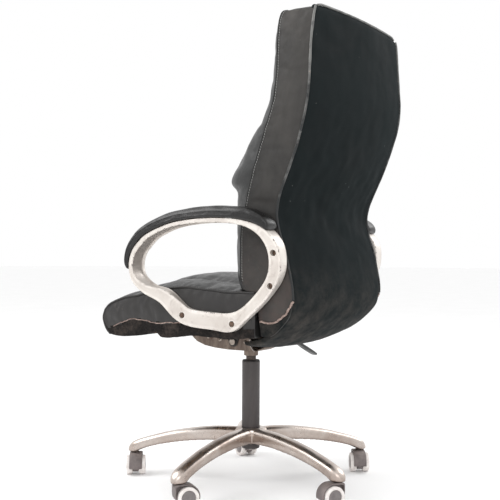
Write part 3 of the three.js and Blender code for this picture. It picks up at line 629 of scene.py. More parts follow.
def star_base():
    rows = smooth_curve(ARM_STATIONS, 90)
    solid_rows = [r for r in rows if r[0] > 304]
    open_rows = [r for r in rows if r[0] < 322]
    tip = np.vstack([arm_ring(*r) for r in solid_rows])
    tip_faces = ring_faces(len(solid_rows), len(arm_ring(*rows[0])))
    skin = []
    wall = 4.2
    for along, top, bottom, half in open_rows:
        outer = arm_ring(along, top, bottom, half)
        inner = arm_ring(along, top - wall, bottom, half - wall)
        skin.append(np.vstack([outer, inner[::-1]]))
    skin_faces = ring_faces(len(skin), len(skin[0]))
    ribs = []
    for along in (110, 180, 250):
        row = rows[np.argmin(np.abs(rows[:, 0] - along))]
        rib = [arm_ring(row[0] + d, row[1] - 2, row[2] + 3, row[3] - 2) for d in (-1.8, 1.8)]
        ribs.append((np.vstack(rib), ring_faces(2, len(rib[0]))))
    spine_rows = [r for r in rows if 36 < r[0] < 318]
    spine = np.vstack([[[a, -1.8, b + 4], [a, 1.8, b + 4], [a, 1.8, t - 2], [a, -1.8, t - 2]]
                       for a, t, b, _ in spine_rows])
    ribs.append((spine, ring_faces(len(spine_rows), 4)))
    arm_points, arm_faces = joined((tip, tip_faces), (np.vstack(skin), skin_faces), *ribs)
    parts = [lathe([[25.4, 106], [37, 106], [40.5, 109], [42, 114], [42, 140], [40, 146], [35, 149],
        [27, 149],
                    [25.4, 147.5]], 64)]
    for i in range(5):
        angle = math.radians(72 * i)
        turn = np.array([[math.cos(angle), -math.sin(angle), 0], [math.sin(angle), math.cos(angle), 0],
            [0, 0, 1]])
        parts.append((arm_points @ turn.T, arm_faces))
    points, faces = joined(*parts)
    obj = new_piece("base_star", points, faces, "base", M["aluminium"], "polished_aluminium", ["star_base"])
    modifier(obj, "REMESH", mode="VOXEL", voxel_size=0.0022, use_smooth_shade=True)
    modifier(obj, "SMOOTH", factor=0.5, iterations=5)
    return apply_modifiers(obj)


star_base()

# ---- Casters ---------------------------------------------------------------------------------

WHEEL_RADIUS = 27
TRAIL = 20
HEADINGS = [142, 329, 34, 60, 36]


def arc(cx, cz, radius, start, end, count):
    angles = np.radians(np.linspace(start, end, count))
    return [[cx + radius * math.cos(a), cz + radius * math.sin(a)] for a in angles]


def inset(outline, amount):
    """An outline of [x, z] pairs moved inwards."""
    p = np.asarray(outline, float)
    ahead = np.roll(p, -1, 0) - np.roll(p, 1, 0)
    ahead /= np.linalg.norm(ahead, axis=1)[:, None]
    area = np.sum(p[:, 0] * np.roll(p[:, 1], -1) - np.roll(p[:, 0], -1) * p[:, 1])
    inwards = np.stack([-ahead[:, 1], ahead[:, 0]], 1) * (1 if area > 0 else -1)
    return p + inwards * amount


def slab(outline, stations):
    """An outline in X-Z carried along Y through [y, inset] stations."""
    rings = [np.insert(inset(outline, shrink), 1, y, axis=1) for y, shrink in stations]
    return np.vstack(rings), ring_faces(len(rings), len(outline))


def caster_hood():
    outer = WHEEL_RADIUS + 4.9
    inner = WHEEL_RADIUS + 1.3
    outline = ([[-11, 24], [-12.4, 30], [-13, 40], [-13, 52]] + arc(-6.5, 53.5, 6.5, 180, 90, 7)
               + [[0, 60], [6, 60]] + arc(TRAIL, WHEEL_RADIUS, outer, 93, -12, 26)
               + arc(TRAIL, WHEEL_RADIUS, inner, -12, 93, 26) + [[8, 55], [0, 55.5]]
               + arc(-6, 49.5, 4.6, 95, 180, 5) + [[-10.3, 40], [-9.8, 30], [-9.2, 24]])
    band = slab(outline, [[-18, 1.1], [-17.5, 0.4], [-16.6, 0], [16.6, 0], [17.5, 0.4], [18, 1.1]])
    web_outline = ([[-11, 22], [-12.4, 30], [-13, 52]] + arc(-6.5, 53.5, 6.5, 180, 90, 7)
                   + arc(TRAIL, WHEEL_RADIUS, outer - 0.3, 93, -12, 26) + [[40, 12], [33, 9]]
                   + arc(TRAIL, WHEEL_RADIUS, 16.5, -60, -140, 9))
    web = slab(web_outline, [[-8, 0.8], [-7.3, 0], [7.3, 0], [8, 0.8]])
    return joined(band, web)


def caster_wheel(side):
    """The tyre, the rim and the domed cap of one wheel, each with its own material number."""
    near, far = 9.0, 27.5
    tyre = [[3.4, near], [24, near], [26.2, near + 0.8], [27, near + 2.2], [27, far - 3.2], [26.4, far - 1.4],
            [24.8, far - 0.7], [21.2, far - 0.9], [19.6, far - 1.6], [18.8, far - 3.6], [3.4, far - 3.6]]
    cap = [[0, far - 0.1], [6, far - 0.25], [11, far - 0.7], [15.4, far - 1.6], [17.6, far - 2.5],
           [18.4, far - 3.5], [18.4, far - 5], [0, far - 5]]
    groove = [[25.0, far - 0.95], [25.9, far - 1.25], [26.6, far - 2.2], [26.9, far - 3.4], [26.0, far - 3.6],
              [24.9, far - 2.0]]
    parts = []
    for profile in (tyre, cap, groove):
        flipped = [[r, side * h] for r, h in profile]
        parts.append(lathe(flipped, 48, "y", (TRAIL, 0, WHEEL_RADIUS)))
    points, faces = joined(*parts)
    counts = [len(f) for _, f in parts]
    numbers = np.repeat([0, 1, 2], counts)
    return points, faces, numbers


def turned_about_stem(points, index):
    heading, spot = math.radians(HEADINGS[index]), math.radians(72 * index)
    turn = np.array([[math.cos(heading), -math.sin(heading), 0], [math.sin(heading), math.cos(heading), 0],
                     [0, 0, 1]])
    return points @ turn.T + np.array([STEM_CIRCLE * math.cos(spot), STEM_CIRCLE * math.sin(spot), 0])


def add_casters():
    hood = caster_hood()
    wheels = {"left": caster_wheel(1), "right": caster_wheel(-1)}
    stem = lathe([[0, 40], [5, 40], [5, 60.6], [8, 60.8], [8.4, 61.2], [8, 61.6], [5, 61.8], [5, 82],
        [0, 82]], 32)
    for i in range(5):
        piece = new_piece(f"hood_{i + 1}", turned_about_stem(hood[0], i), hood[1], f"caster_{i + 1}",
            M["hood"],
                          "hood_plastic", [f"caster_hood_{i + 1}"])
        crisp(piece, 40)
        new_piece(f"stem_{i + 1}", turned_about_stem(stem[0], i), stem[1], "base", M["zinc"], "zinc_steel",
                  [f"caster_stem_{i + 1}"])
        for side, (points, faces, numbers) in wheels.items():
            wheel = new_piece(f"wheel_{side}_{i + 1}", turned_about_stem(points, i), faces,
                f"wheel_{side}_{i + 1}",
                              [M["wheel"], M["cap"], M["rim"]], "wheel_plastic",
                                  [f"caster_wheel_{side}_{i + 1}"])
            wheel.data.polygons.foreach_set("material_index", numbers.astype(np.int32))
            crisp(wheel, 50)


add_casters()

# ---- Column ----------------------------------------------------------------------------------


def add_column():
    points, faces = lathe([[6, 90], [22, 90], [24.4, 90.8], [25, 93], [25, 329], [25.25, 330.5],
        [25.1, 332.6],
                           [24.4, 333.8], [23.4, 334], [23.2, 333], [23.2, 93], [6, 93]], 72)
    crisp(new_piece("tube", points, faces, "base", M["column"], "dark_steel", ["column_tube"]), 40)
    points, faces = lathe([[14.3, 184], [22.8, 184], [22.8, 334.3], [24.2, 334.5], [24.3, 335.4],
        [23.4, 336.6],
                           [16, 337.2], [14.3, 337]], 64)
    crisp(new_piece("guide", points, faces, "base", M["guide"], "guide_plastic", ["guide_sleeve"]), 40)
    points, faces = lathe([[6, 110], [13, 110], [14, 111], [14, 382], [13, 384], [4.3, 384], [4.3, 372],
                           [11.6, 371], [11.6, 118], [6, 118]], 56)
    crisp(new_piece("lift_cylinder", points, faces, "lift", M["cylinder"], "bright_steel",
        ["gas_cylinder"]), 40)


add_column()

# ---- Mechanism -------------------------------------------------------------------------------

PIVOT = (-32, 388)


def add_knob():
    """A fluted knob on the pivot's line."""
    stations = [[-52, 14], [-52.3, 20], [-53.2, 22.4], [-55, 23.8], [-58, 24.6], [-70, 25], [-82, 24.6],
        [-86, 23.6],
                [-88.6, 21.6], [-89.8, 18.4], [-90, 13], [-88.8, 11.5], [-88.6, 4]]
    rings = []
    for x, radius in smooth_curve(stations, 44):
        angles = np.linspace(0, 2 * math.pi, 120, endpoint=False)
        share = smoothstep((-54 - x) / 6) * smoothstep((radius - 19) / 4)
        r = radius - 2.6 * share * np.clip(np.cos(8 * angles), 0, 1) ** 1.5
        rings.append(np.stack([np.full(120, x), PIVOT[0] + r * np.cos(angles),
            PIVOT[1] + r * np.sin(angles)], 1))
    new_piece("knob", np.vstack(rings), ring_faces(len(rings), 120), "knob", M["black"], "black_plastic",
              ["tension_knob"])


def add_lever():
    start, end = np.array([-150, 52, 382.0]), np.array([-284, 52, 328.0])
    along = (end - start) / np.linalg.norm(end - start)
    path = [[0, -3, 393.5], [0, 20, 393.5], [0, 40, 393.5], [-1.6, 48, 393.5], [-8, 52, 393.5],
        [-30, 52, 393.5],
            [-62, 52, 393.5], [-100, 52, 390.2], [-132, 52, 385.9], *[start + along * d for d in (-6, 4, 20)]]
    points, faces = tube(smooth_curve(path, 90), 3.2, 20)
    new_piece("lever", points, faces, "lever", M["bright"], "zinc_steel", ["lever_rod"])
    up = np.array([along[2], 0, -along[0]])
    length = np.linalg.norm(end - start)
    stations = [[-1, 0.40, 0.8], [2, 0.50, 0.95], [10, 0.54, 1.0], [32, 0.60, 1.0], [60, 0.90, 0.95],
        [98, 1.0, 0.9],
                [length - 14, 0.95, 0.85], [length - 5, 0.76, 0.75], [length - 1, 0.46, 0.5],
                    [length, 0.2, 0.25]]
    rings = []
    for d, half, thick in smooth_curve(stations, 60):
        angles = np.linspace(0, 2 * math.pi, 36, endpoint=False)
        a = np.sign(np.cos(angles)) * np.abs(np.cos(angles)) ** 0.6 * 12 * half
        b = np.sign(np.sin(angles)) * np.abs(np.sin(angles)) ** 0.7 * 4.5 * thick
        rings.append(start + along * d + np.outer(a, [0, 1, 0]) + np.outer(b, up))
    new_piece("paddle", np.vstack(rings), ring_faces(len(rings), 36), "lever", M["black"], "black_plastic",
              ["lever_paddle"])


def rivet(at, radius, height, direction):
    profile = [[0, height], [radius * 0.55, height * 0.92], [radius * 0.88, height * 0.6],
        [radius, height * 0.2],
               [radius, -0.5], [0, -0.5]]
    return lathe([[r, direction * h] for r, h in profile], 32, "x", at)


def add_housing_trim():
    """Rivet heads on the side walls, a folded lip along the rear arc, and a collar under the socket."""
    parts = [rivet((40, y, z), 5.5, 2.6, 1) for y, z in ((-118, 398), (6, 389), (-78, 392))]
    parts += [rivet((-40, y, z), 5.5, 2.6, -1) for y, z in ((-118, 398), (6, 389))]
    new_piece("housing_rivets", *joined(*parts), "lift", M["zinc"], "zinc_steel")
    lip = [[41.2, *p] for p in arc(56, 394, 35, 173, 236, 26)]
    new_piece("housing_lip", *tube(lip, 1.6, 10), "lift", M["bright"], "zinc_steel")
    points, faces = lathe([[14.6, 349], [19.2, 349], [19.9, 350], [19.9, 364], [19.2, 365.5],
        [14.6, 365.5]], 48)
    crisp(new_piece("socket_collar", points, faces, "lift", M["dusty"], "dusty_steel"), 40)


add_knob()
add_lever()
add_housing_trim()


# ---- Soft goods ------------------------------------------------------------------------------


def coons(bottom, top, front, rear):
    """A patch between four chains of points: bottom and top share a count, and so do front and rear."""
    nb, nf = len(bottom), len(front)
    u = np.linspace(0, 1, nb)[:, None, None]
    v = np.linspace(0, 1, nf)[None, :, None]
    ruled = (1 - v) * bottom[:, None] + v * top[:, None] + (1 - u) * front[None] + u * rear[None]
    corners = ((1 - u) * (1 - v) * bottom[0] + u * (1 - v) * bottom[-1]
               + (1 - u) * v * top[0] + u * v * top[-1])
    return ruled - corners


class Cushion:
    """A box-like cushion: a loop of four chains carried across lanes, and a patch on each side.
    shape(lane, chain points, chain name) gives the 3-D points of one chain at a lane from -1 to 1."""

    def __init__(self, chains, lanes, shape, side_bulge=0.0):
        self.lanes = lanes
        self.names = ("front", "top", "rear", "bottom")
        counts = [len(chains[n]) for n in self.names]
        loop = counts[0] - 1 + counts[1] - 1 + counts[2] - 1 + counts[3] - 1
        self.loop, self.counts = loop, counts
        points = []
        for lane in lanes:
            ring = [shape(lane, chains[n], n)[:-1] for n in self.names]
            points.append(np.vstack(ring))
        faces, self.region = [], []
        n_lanes = len(lanes)
        borders = np.cumsum([0] + [c - 1 for c in counts])
        for i in range(n_lanes - 1):
            for j in range(loop):
                k = (j + 1) % loop
                a, b = i * loop, (i + 1) * loop
                faces.append((a + j, a + k, b + k, b + j))
                self.region.append(int(np.searchsorted(borders, j, side="right") - 1))
        start = n_lanes * loop
        for which, lane_index in ((4, 0), (5, n_lanes - 1)):
            base = lane_index * loop
            index = lambda chain, i, base=base: base + (borders[chain] + i) % loop
            nb, nf = counts[3], counts[0]
            grid = np.full((nb, nf), -1)
            for i in range(nb):
                grid[i, 0] = index(3, nb - 1 - i)
                grid[i, nf - 1] = index(1, i)
            for j in range(nf):
                grid[0, j] = index(0, j)
                grid[nb - 1, j] = index(2, nf - 1 - j)
            flat = np.vstack(points)[: n_lanes * loop]
            patch = coons(flat[grid[:, 0]], flat[grid[:, nf - 1]], flat[grid[0]], flat[grid[nb - 1]])
            u = np.linspace(0, 1, nb)[1:-1, None]
            v = np.linspace(0, 1, nf)[None, 1:-1]
            inner = patch[1:-1, 1:-1].copy()
            outward = 1 if which == 5 else -1
            inner[..., 0] += outward * side_bulge * 4 * v * (1 - v) * np.sqrt(np.clip(4 * u * (1 - u), 0, 1))
            grid[1:-1, 1:-1] = start + np.arange((nb - 2) * (nf - 2)).reshape(nb - 2, nf - 2)
            start += (nb - 2) * (nf - 2)
            points.append(inner.reshape(-1, 3))
            for i in range(nb - 1):
                for j in range(nf - 1):
                    faces.append((grid[i, j], grid[i + 1, j], grid[i + 1, j + 1], grid[i, j + 1]))
                    self.region.append(which)
        self.points = np.vstack(points)
        self.faces = faces
        self.region = np.array(self.region)
        self.lane_of = np.concatenate([np.repeat(np.arange(n_lanes), loop),
                                       np.full(len(self.points) - n_lanes * loop, -1)])
        self.place_of = np.concatenate([np.tile(np.arange(loop), n_lanes),
                                        np.full(len(self.points) - n_lanes * loop, -1)])
        self.borders = borders

    def chain_line(self, chain, lane_index):
        """The numbers of the points of one chain at one lane, in order."""
        start = self.borders[chain]
        return [lane_index * self.loop + (start + i) % self.loop for i in range(self.counts[chain])]


def inflate(obj, pins, pressure, cap, frames=20, shrink=0.0, bending=0.6):
    """Blows the piece up as cloth, keeps pinned points, and limits how far any point may go (mm)."""
    rest = np.empty(len(obj.data.vertices) * 3)
    obj.data.vertices.foreach_get("co", rest)
    rest = rest.reshape(-1, 3)
    group = obj.vertex_groups.new(name="pin")
    for weight in np.unique(np.round(pins, 2)):
        if weight > 0:
            group.add(np.flatnonzero(np.round(pins, 2) == weight).tolist(), float(weight), "REPLACE")
    cloth = obj.modifiers.new("cloth", "CLOTH")
    settings = cloth.settings
    settings.quality = 5
    settings.mass = 0.3
    settings.tension_stiffness = settings.compression_stiffness = 15
    settings.shear_stiffness = 5
    settings.bending_stiffness = bending
    settings.use_pressure = True
    settings.uniform_pressure_force = pressure
    settings.effector_weights.gravity = 0
    settings.vertex_group_mass = "pin"
    settings.pin_stiffness = 1
    settings.shrink_min = shrink
    cloth.collision_settings.use_collision = False
    cloth.point_cache.frame_end = frames
    for number in range(1, frames + 1):
        scene.frame_set(number)
    evaluated = obj.evaluated_get(bpy.context.evaluated_depsgraph_get())
    moved = np.empty(len(evaluated.data.vertices) * 3)
    evaluated.data.vertices.foreach_get("co", moved)
    delta = moved.reshape(-1, 3) - rest
    delta[~np.isfinite(delta)] = 0
    length = np.linalg.norm(delta, axis=1)
    limit = cap * 0.001
    scale = limit * np.tanh(length / limit) / np.maximum(length, 1e-9)
    obj.modifiers.remove(cloth)
    obj.vertex_groups.remove(group)
    obj.data.vertices.foreach_set("co", (rest + delta * scale[:, None]).ravel())
    obj.data.update()
    scene.frame_set(1)


def read_points(obj):
    out = np.empty(len(obj.data.vertices) * 3)
    obj.data.vertices.foreach_get("co", out)
    return (out.reshape(-1, 3) - ORIGIN) * 1000


def write_points(obj, points):
    obj.data.vertices.foreach_set("co", place(points).ravel())
    obj.data.update()


def surface_tree(obj):
    return BVHTree.FromObject(obj, bpy.context.evaluated_depsgraph_get())


def on_surface(tree, path, lift=0.0):
    """Puts a path (mm) on a surface, raised by `lift`, and gives the normals there too."""
    points, normals = [], []
    for p in place(path):
        hit, normal, _, _ = tree.find_nearest(Vector(p))
        points.append((np.array(hit) - ORIGIN) * 1000 + np.array(normal) * lift)
        normals.append(np.array(normal))
    return np.array(points), np.array(normals)


def stitches(name, tree, path, body, pitch=6.5, length=4.2, width=0.75, lift=0.15, material=None, slant=0.0):
    """A row of short threads that lie on a surface along a path."""
    total = np.linalg.norm(np.diff(path, axis=0), axis=1).sum()
    count = max(int(total / pitch), 2)
    even = smooth_curve(path, count * 2 + 1)
    points, normals = on_surface(tree, even, lift)
    parts = []
    for i in range(1, len(points) - 1, 2):
        ahead = points[i + 1] - points[i - 1]
        ahead /= np.linalg.norm(ahead) + 1e-9
        normal = normals[i]
        side = np.cross(normal, ahead)
        run = ahead + slant * side
        run /= np.linalg.norm(run)
        across = np.cross(normal, run)
        rings = []
        for t, share, rise in ((-0.5, 0.35, -0.5), (-0.36, 0.9, 0.05), (0, 1.0, 0.25), (0.36, 0.9, 0.05),
            (0.5, 0.35, -0.5)):
            centre = points[i] + run * length * t + normal * rise
            for k in range(6):
                angle = math.pi * k / 3
                rings.append(centre + width * share
                             * (math.cos(angle) * across + 0.8 * math.sin(angle) * normal))
        parts.append((np.array(rings), ring_faces(5, 6)))
    return new_piece(name, *joined(*parts), body, material or M["thread"], None)


# The seat, seen from the side: [y, z].
SEAT_TOP = [[-318, 478], [-300, 493], [-262, 508], [-208, 519], [-150, 534], [-100, 543], [-42, 545],
    [20, 541],
            [90, 536], [170, 537]]
SEAT_BOTTOM = [[-298, 412], [-270, 408], [-219, 410], [-184, 415], [-152, 424], [-141, 427], [-130, 419],
               [-118, 412], [-77, 415], [-34, 421], [12, 421], [90, 420], [170, 424]]
SEAT_FRONT = [[-298, 412], [-312, 424], [-322, 441], [-326, 458], [-318, 478]]
SEAT_HALF = 256


def seat_shape(lane, chain, name):
    side = abs(lane)
    middle = 1 - side ** 4
    y, z = chain[:, 0].copy(), chain[:, 1].copy()
    front = np.clip((-230 - y) / 110, 0, 1)
    if name in ("front", "top"):
        nose = np.clip((-262 - y) / 56, 0, 1)
        y = y - 20 * middle * nose * smoothstep((z - 404) / 46)
        z = z + (26 * (1 - side ** 2.4) * smoothstep((172 - y) / 60) * smoothstep((z - 470) / 36))
    half = SEAT_HALF - 10 * front ** 2
    if name == "bottom":
        z = np.where(side < 0.9, np.maximum(z, 414 - 4 * front), z)
    return np.stack([lane * half, y, z], 1)


def add_seat():
    chains = {
        "front": smooth_curve(SEAT_FRONT, 15),
        "top": smooth_curve(SEAT_TOP, 74),
        "rear": np.stack([np.full(15, 170.0), np.linspace(537, 424, 15)], 1),
        "bottom": smooth_curve(SEAT_BOTTOM, 74)[::-1],
    }
    edge = 1 - np.array([0, 0.004, 0.012, 0.025])
    lanes = np.concatenate([-edge, np.linspace(-0.955, 0.955, 68), edge[::-1]])
    cushion = Cushion(chains, lanes, seat_shape, side_bulge=3.0)
    points = cushion.points
    obj = new_piece("seat_pad", points, cushion.faces, "seat",
                    [M["seat"], M["side"], M["cloth"]], "seat_leather", ["seat_cushion"])
    y, z = points[:, 1], points[:, 2]
    side = np.abs(points[:, 0]) / SEAT_HALF
    pins = np.zeros(len(points))
    on_loop = cushion.lane_of >= 0
    ring = cushion.place_of
    b = cushion.borders
    pins[on_loop & (ring >= b[2])] = 1.0
    pins[(cushion.lane_of == 0) | (cushion.lane_of == len(lanes) - 1)] = 1.0
    for lane in (-0.62, 0.62):
        column = np.argmin(np.abs(lanes - lane))
        pins[(cushion.lane_of == column) & (ring < b[2]) & (y < 150)] = 0.9
    lower = side_seam_z(y)
    side_patch = cushion.lane_of < 0
    pins[side_patch & (np.abs(z - lower) < 4)] = 0.8
    inflate(obj, pins, 3.2, 12, shrink=-0.02)
    points = read_points(obj)
    sag = smoothstep(1 - np.abs(points[:, 2] - 421) / 22) * smoothstep((np.abs(points[:, 0]) - 228) / 24)
    lumps = fractal(points, 46, 3.1) * 5 + fractal(points, 19, 8.4) * 2
    points[:, 0] += np.sign(points[:, 0]) * sag * lumps * 0.5
    points[:, 2] += sag * (lumps * 0.6)
    top = smoothstep((points[:, 2] - 470) / 40)
    points[:, 2] += top * (fractal(points, 120, 5.0, 2) * 3 + fractal(points, 30, 1.7, 2) * 0.9)
    write_points(obj, points)
    numbers = np.zeros(len(cushion.faces), np.int32)
    centres = np.array([points[list(f)].mean(0) for f in cushion.faces])
    on_side = cushion.region >= 4
    numbers[on_side] = 1
    numbers[on_side & (centres[:, 2] < side_seam_z(centres[:, 1]))] = 2
    numbers[(cushion.region == 3)] = 2
    numbers[(cushion.region == 0) & (centres[:, 2] < 428)] = 2
    obj.data.polygons.foreach_set("material_index", numbers)
    modifier(obj, "SUBSURF", levels=1, render_levels=1)
    tree = surface_tree(obj)
    for side, name in ((1, "left"), (-1, "right")):
        lane = len(lanes) - 1 if side > 0 else 0
        line = points[cushion.chain_line(0, lane)[:-1] + cushion.chain_line(1, lane)]
        line = smooth_curve(line, 150)
        line[:, 0] += side * 0.6
        line[:, 2] += 0.8
        new_piece(f"seat_piping_{name}", *tube(line, 2.6, 12), "seat", M["side"], "seat_leather")
        inner = line[20:].copy()
        inner[:, 0] -= side * 8
        inner[:, 2] += 3
        stitches(f"seat_stitch_{name}", tree, inner, "seat", 7, 4.0, 0.6, material=M["dark_thread"])
        ys = np.linspace(-285, 120, 60)
        seam = np.stack([np.full(60, side * (SEAT_HALF + 4)), ys, side_seam_z(ys)], 1)
        seam, _ = on_surface(tree, seam, 0.4)
        seam[:, 2] += fractal(seam, 25, 2.2) * 2.5
        new_piece(f"seat_lower_seam_{name}", *tube(seam, 1.3, 8), "seat", M["torn"], None)
    return obj


def side_seam_z(y):
    """Height of the lower seam on the seat's sides."""
    return np.interp(y, [-300, -264, -233, -211, -186, -164, -130, -79, 20, 170],
                     [430, 442, 452, 458, 457, 452, 450, 453, 452, 450])


# The back from the side: the rear edge as [y, z, half width], the front as [z, pillow y, gusset seam y].
REAR_LINE = np.array([
    [325, 1241, 236], [328, 1228, 243], [328, 1205, 251], [327, 1150, 261], [328, 1095, 268],
        [328, 1040, 273],
    [321, 990, 273], [307, 940, 270], [290, 890, 267], [271, 845, 265], [250, 798, 262], [237, 762, 259],
    [233, 728, 258], [240, 690, 257], [256, 640, 256], [268, 590, 255], [276, 548, 254], [276, 515, 252],
    [266, 484, 248], [244, 458, 242], [212, 432, 234], [176, 412, 226], [140, 402, 219], [112, 399, 214]],
        float)
FRONT_LINE = np.array([
    [1241, 246, 242], [1222, 222, 234], [1185, 212, 232], [1130, 211, 234], [1075, 210, 236],
        [1025, 201, 232],
    [985, 180, 222], [940, 142, 204], [890, 103, 185], [845, 72, 168], [822, 61, 161], [808, 66, 156],
    [797, 80, 153], [780, 84, 148], [740, 83, 138], [690, 84, 129], [640, 84, 126], [590, 86, 127],
    [562, 92, 131], [550, 97, 133], [541, 112, 142], [537, 174, 174], [500, 174, 174], [428, 174, 174]],
        float)


def back_half(z):
    return np.interp(z, REAR_LINE[::-1, 1], REAR_LINE[::-1, 2])


def back_shape(lane, chain, name):
    side = abs(lane)
    y, z = chain[:, 0].copy(), chain[:, 1].copy()
    half = back_half(z)
    if name == "front":
        pillow, seam = chain[:, 2], chain[:, 3]
        start = np.interp(z, [800, 860, 960, 1040], [0.74, 0.72, 0.76, 0.86])
        away = np.clip((side - start) / (1 - start), 0, 1)
        y = pillow + (seam - pillow) * away ** 1.8
        y = y - 5 * (1 - (side / 0.8) ** 2) * (side < 0.8) * (z > 570)
    if name == "rear":
        depth = np.where(side > 0.965, 2.0, 13.5)
        y = y + chain[:, 2] * (16 * (1 - side ** 2) - depth)
        z = z + chain[:, 3] * (16 * (1 - side ** 2) - depth)
    if name == "top":
        share = np.linspace(0, 1, len(y))
        y = y + share * 14 * (1 - side ** 2)
        z = z - 4 * side ** 6
    corner = smoothstep((side - 0.9) / 0.1) * smoothstep((z - 1222) / 24) * 7
    return np.stack([lane * half, y, z - corner], 1)


def rear_normals(line):
    ahead = np.gradient(line[:, :2], axis=0)
    normal = np.stack([-ahead[:, 1], ahead[:, 0]], 1)
    return normal / np.linalg.norm(normal, axis=1)[:, None]


def gusset_end_z(y):
    """Where the gusset ends above the panel that goes on under the seat."""
    return np.interp(y, [150, 176, 213, 249, 277, 290], [470, 468, 463, 484, 516, 540])


def add_back():
    dense_rear = smooth_curve(REAR_LINE, 220)
    upper = dense_rear[dense_rear[:, 1] > 424]
    rear = smooth_curve(upper, 122)
    rear = np.hstack([rear[:, :2], rear_normals(rear)])
    front = smooth_curve(FRONT_LINE[::-1], 122)
    front_chain = np.stack([front[:, 1], front[:, 0], front[:, 1], front[:, 2]], 1)
    top = np.linspace([246, 1241], [323, 1241], 15)
    bottom = np.linspace([rear[-1, 0] - 4, 428], [174, 428], 15)
    chains = {"front": front_chain, "top": top, "rear": rear, "bottom": bottom}
    edge = 1 - np.array([0, 0.004, 0.012, 0.025])
    lanes = np.concatenate([-edge, np.linspace(-0.955, 0.955, 70), edge[::-1]])
    cushion = Cushion(chains, lanes, back_shape, side_bulge=2.0)
    obj = new_piece("back_pad", cushion.points, cushion.faces, "seat", [M["front"], M["gusset"], M["suede"]],
                    "back_leather", ["back_cushion"])
    return obj, cushion, lanes


def finish_back(obj, cushion, lanes):
    points = cushion.points
    ring, loop_lane, b = cushion.place_of, cushion.lane_of, cushion.borders
    pins = np.zeros(len(points))
    pins[(loop_lane >= 0) & (ring >= b[2])] = 1.0
    pins[(loop_lane >= 0) & ((ring == b[0]) | (ring == b[1]))] = 1.0
    pins[(loop_lane == 0) | (loop_lane == len(lanes) - 1)] = 1.0
    pins[points[:, 2] < 556] = 1.0
    on_front = (loop_lane >= 0) & (ring < b[1])
    for z in (806, 1082):
        pins[on_front & (np.abs(points[:, 2] - z) < 3.4)] = 0.95
    for lane in (-0.74, 0.74):
        column = np.argmin(np.abs(lanes - lane))
        pins[on_front & (loop_lane == column) & (points[:, 2] > 575)] = 0.95
    inflate(obj, pins, 2.2, 5, shrink=-0.008)
    points = read_points(obj)
    front_face = smoothstep((200 - points[:, 1]) / 60)
    points[:, 1] += front_face * fractal(points, 60, 4.4, 2) * 1.6
    side_face = np.zeros(len(points), bool)
    side_face[loop_lane < 0] = True
    points[side_face, 0] += np.sign(points[side_face, 0]) * fractal(points[side_face], 90, 6.6, 3) * 1.6
    write_points(obj, points)
    centres = np.array([points[list(f)].mean(0) for f in cushion.faces])
    numbers = np.zeros(len(cushion.faces), np.int32)
    on_side = cushion.region >= 4
    numbers[on_side | (cushion.region == 1)] = 1
    low = on_side & (centres[:, 2] < gusset_end_z(centres[:, 1])) & (centres[:, 1] > 150)
    numbers[low | (cushion.region == 3)] = 2
    obj.data.polygons.foreach_set("material_index", numbers)
    seam_y = np.interp(points[:, 2], FRONT_LINE[::-1, 0], FRONT_LINE[::-1, 2])
    near_seam = np.exp(-np.abs(points[:, 1] - seam_y) / 9)
    layer = obj.data.attributes.new("seam", "FLOAT", "POINT")
    layer.data.foreach_set("value", near_seam.astype(np.float32))
    modifier(obj, "SUBSURF", levels=1, render_levels=1)
    tree = surface_tree(obj)
    for side, name in ((1, "left"), (-1, "right")):
        lane = len(lanes) - 1 if side > 0 else 0
        line = points[cushion.chain_line(0, lane)]
        line = line[line[:, 2] > 560]
        beside = line.copy()
        beside[:, 0] += side * 1.0
        beside[:, 1] += 5.0
        stitches(f"gusset_stitch_{name}", tree, beside, "seat", 6.5, 4.8, 1.25, 0.45, slant=0.45)
        seam_line = smooth_curve(line, 160)
        new_piece(f"gusset_seam_{name}", *tube(seam_line, 1.5, 8), "seat", M["front"], None)
        column = np.argmin(np.abs(lanes - side * 0.74))
        edge_line = points[cushion.chain_line(0, column)]
        edge_line = edge_line[(edge_line[:, 2] > 822) & (edge_line[:, 2] < 1225)]
        new_piece(f"pillow_welt_{name}", *tube(on_surface(tree, smooth_curve(edge_line, 110), 0.2)[0], 1.5,
            8),
                  "seat", M["front"], None)
        for shift in (-4.5, 4.5):
            row = edge_line.copy()
            row[:, 0] += shift
            stitches(f"pillow_stitch_{name}_{'in' if shift * side < 0 else 'out'}", tree, row, "seat", 7,
                4.4, 1.05, 0.35)
    for z, name in ((1082, "head"), (806, "lumbar")):
        xs = np.linspace(-185, 185, 60)
        y = np.interp(z, FRONT_LINE[::-1, 0], FRONT_LINE[::-1, 1])
        for shift in (-5, 5):
            row = np.stack([xs, np.full(60, y - 20), np.full(60,
                z + shift + (8 if name == "lumbar" else 0))], 1)
            stitches(f"{name}_stitch_{'low' if shift < 0 else 'high'}", tree, row, "seat", 7, 4.2, 0.8)
    return tree


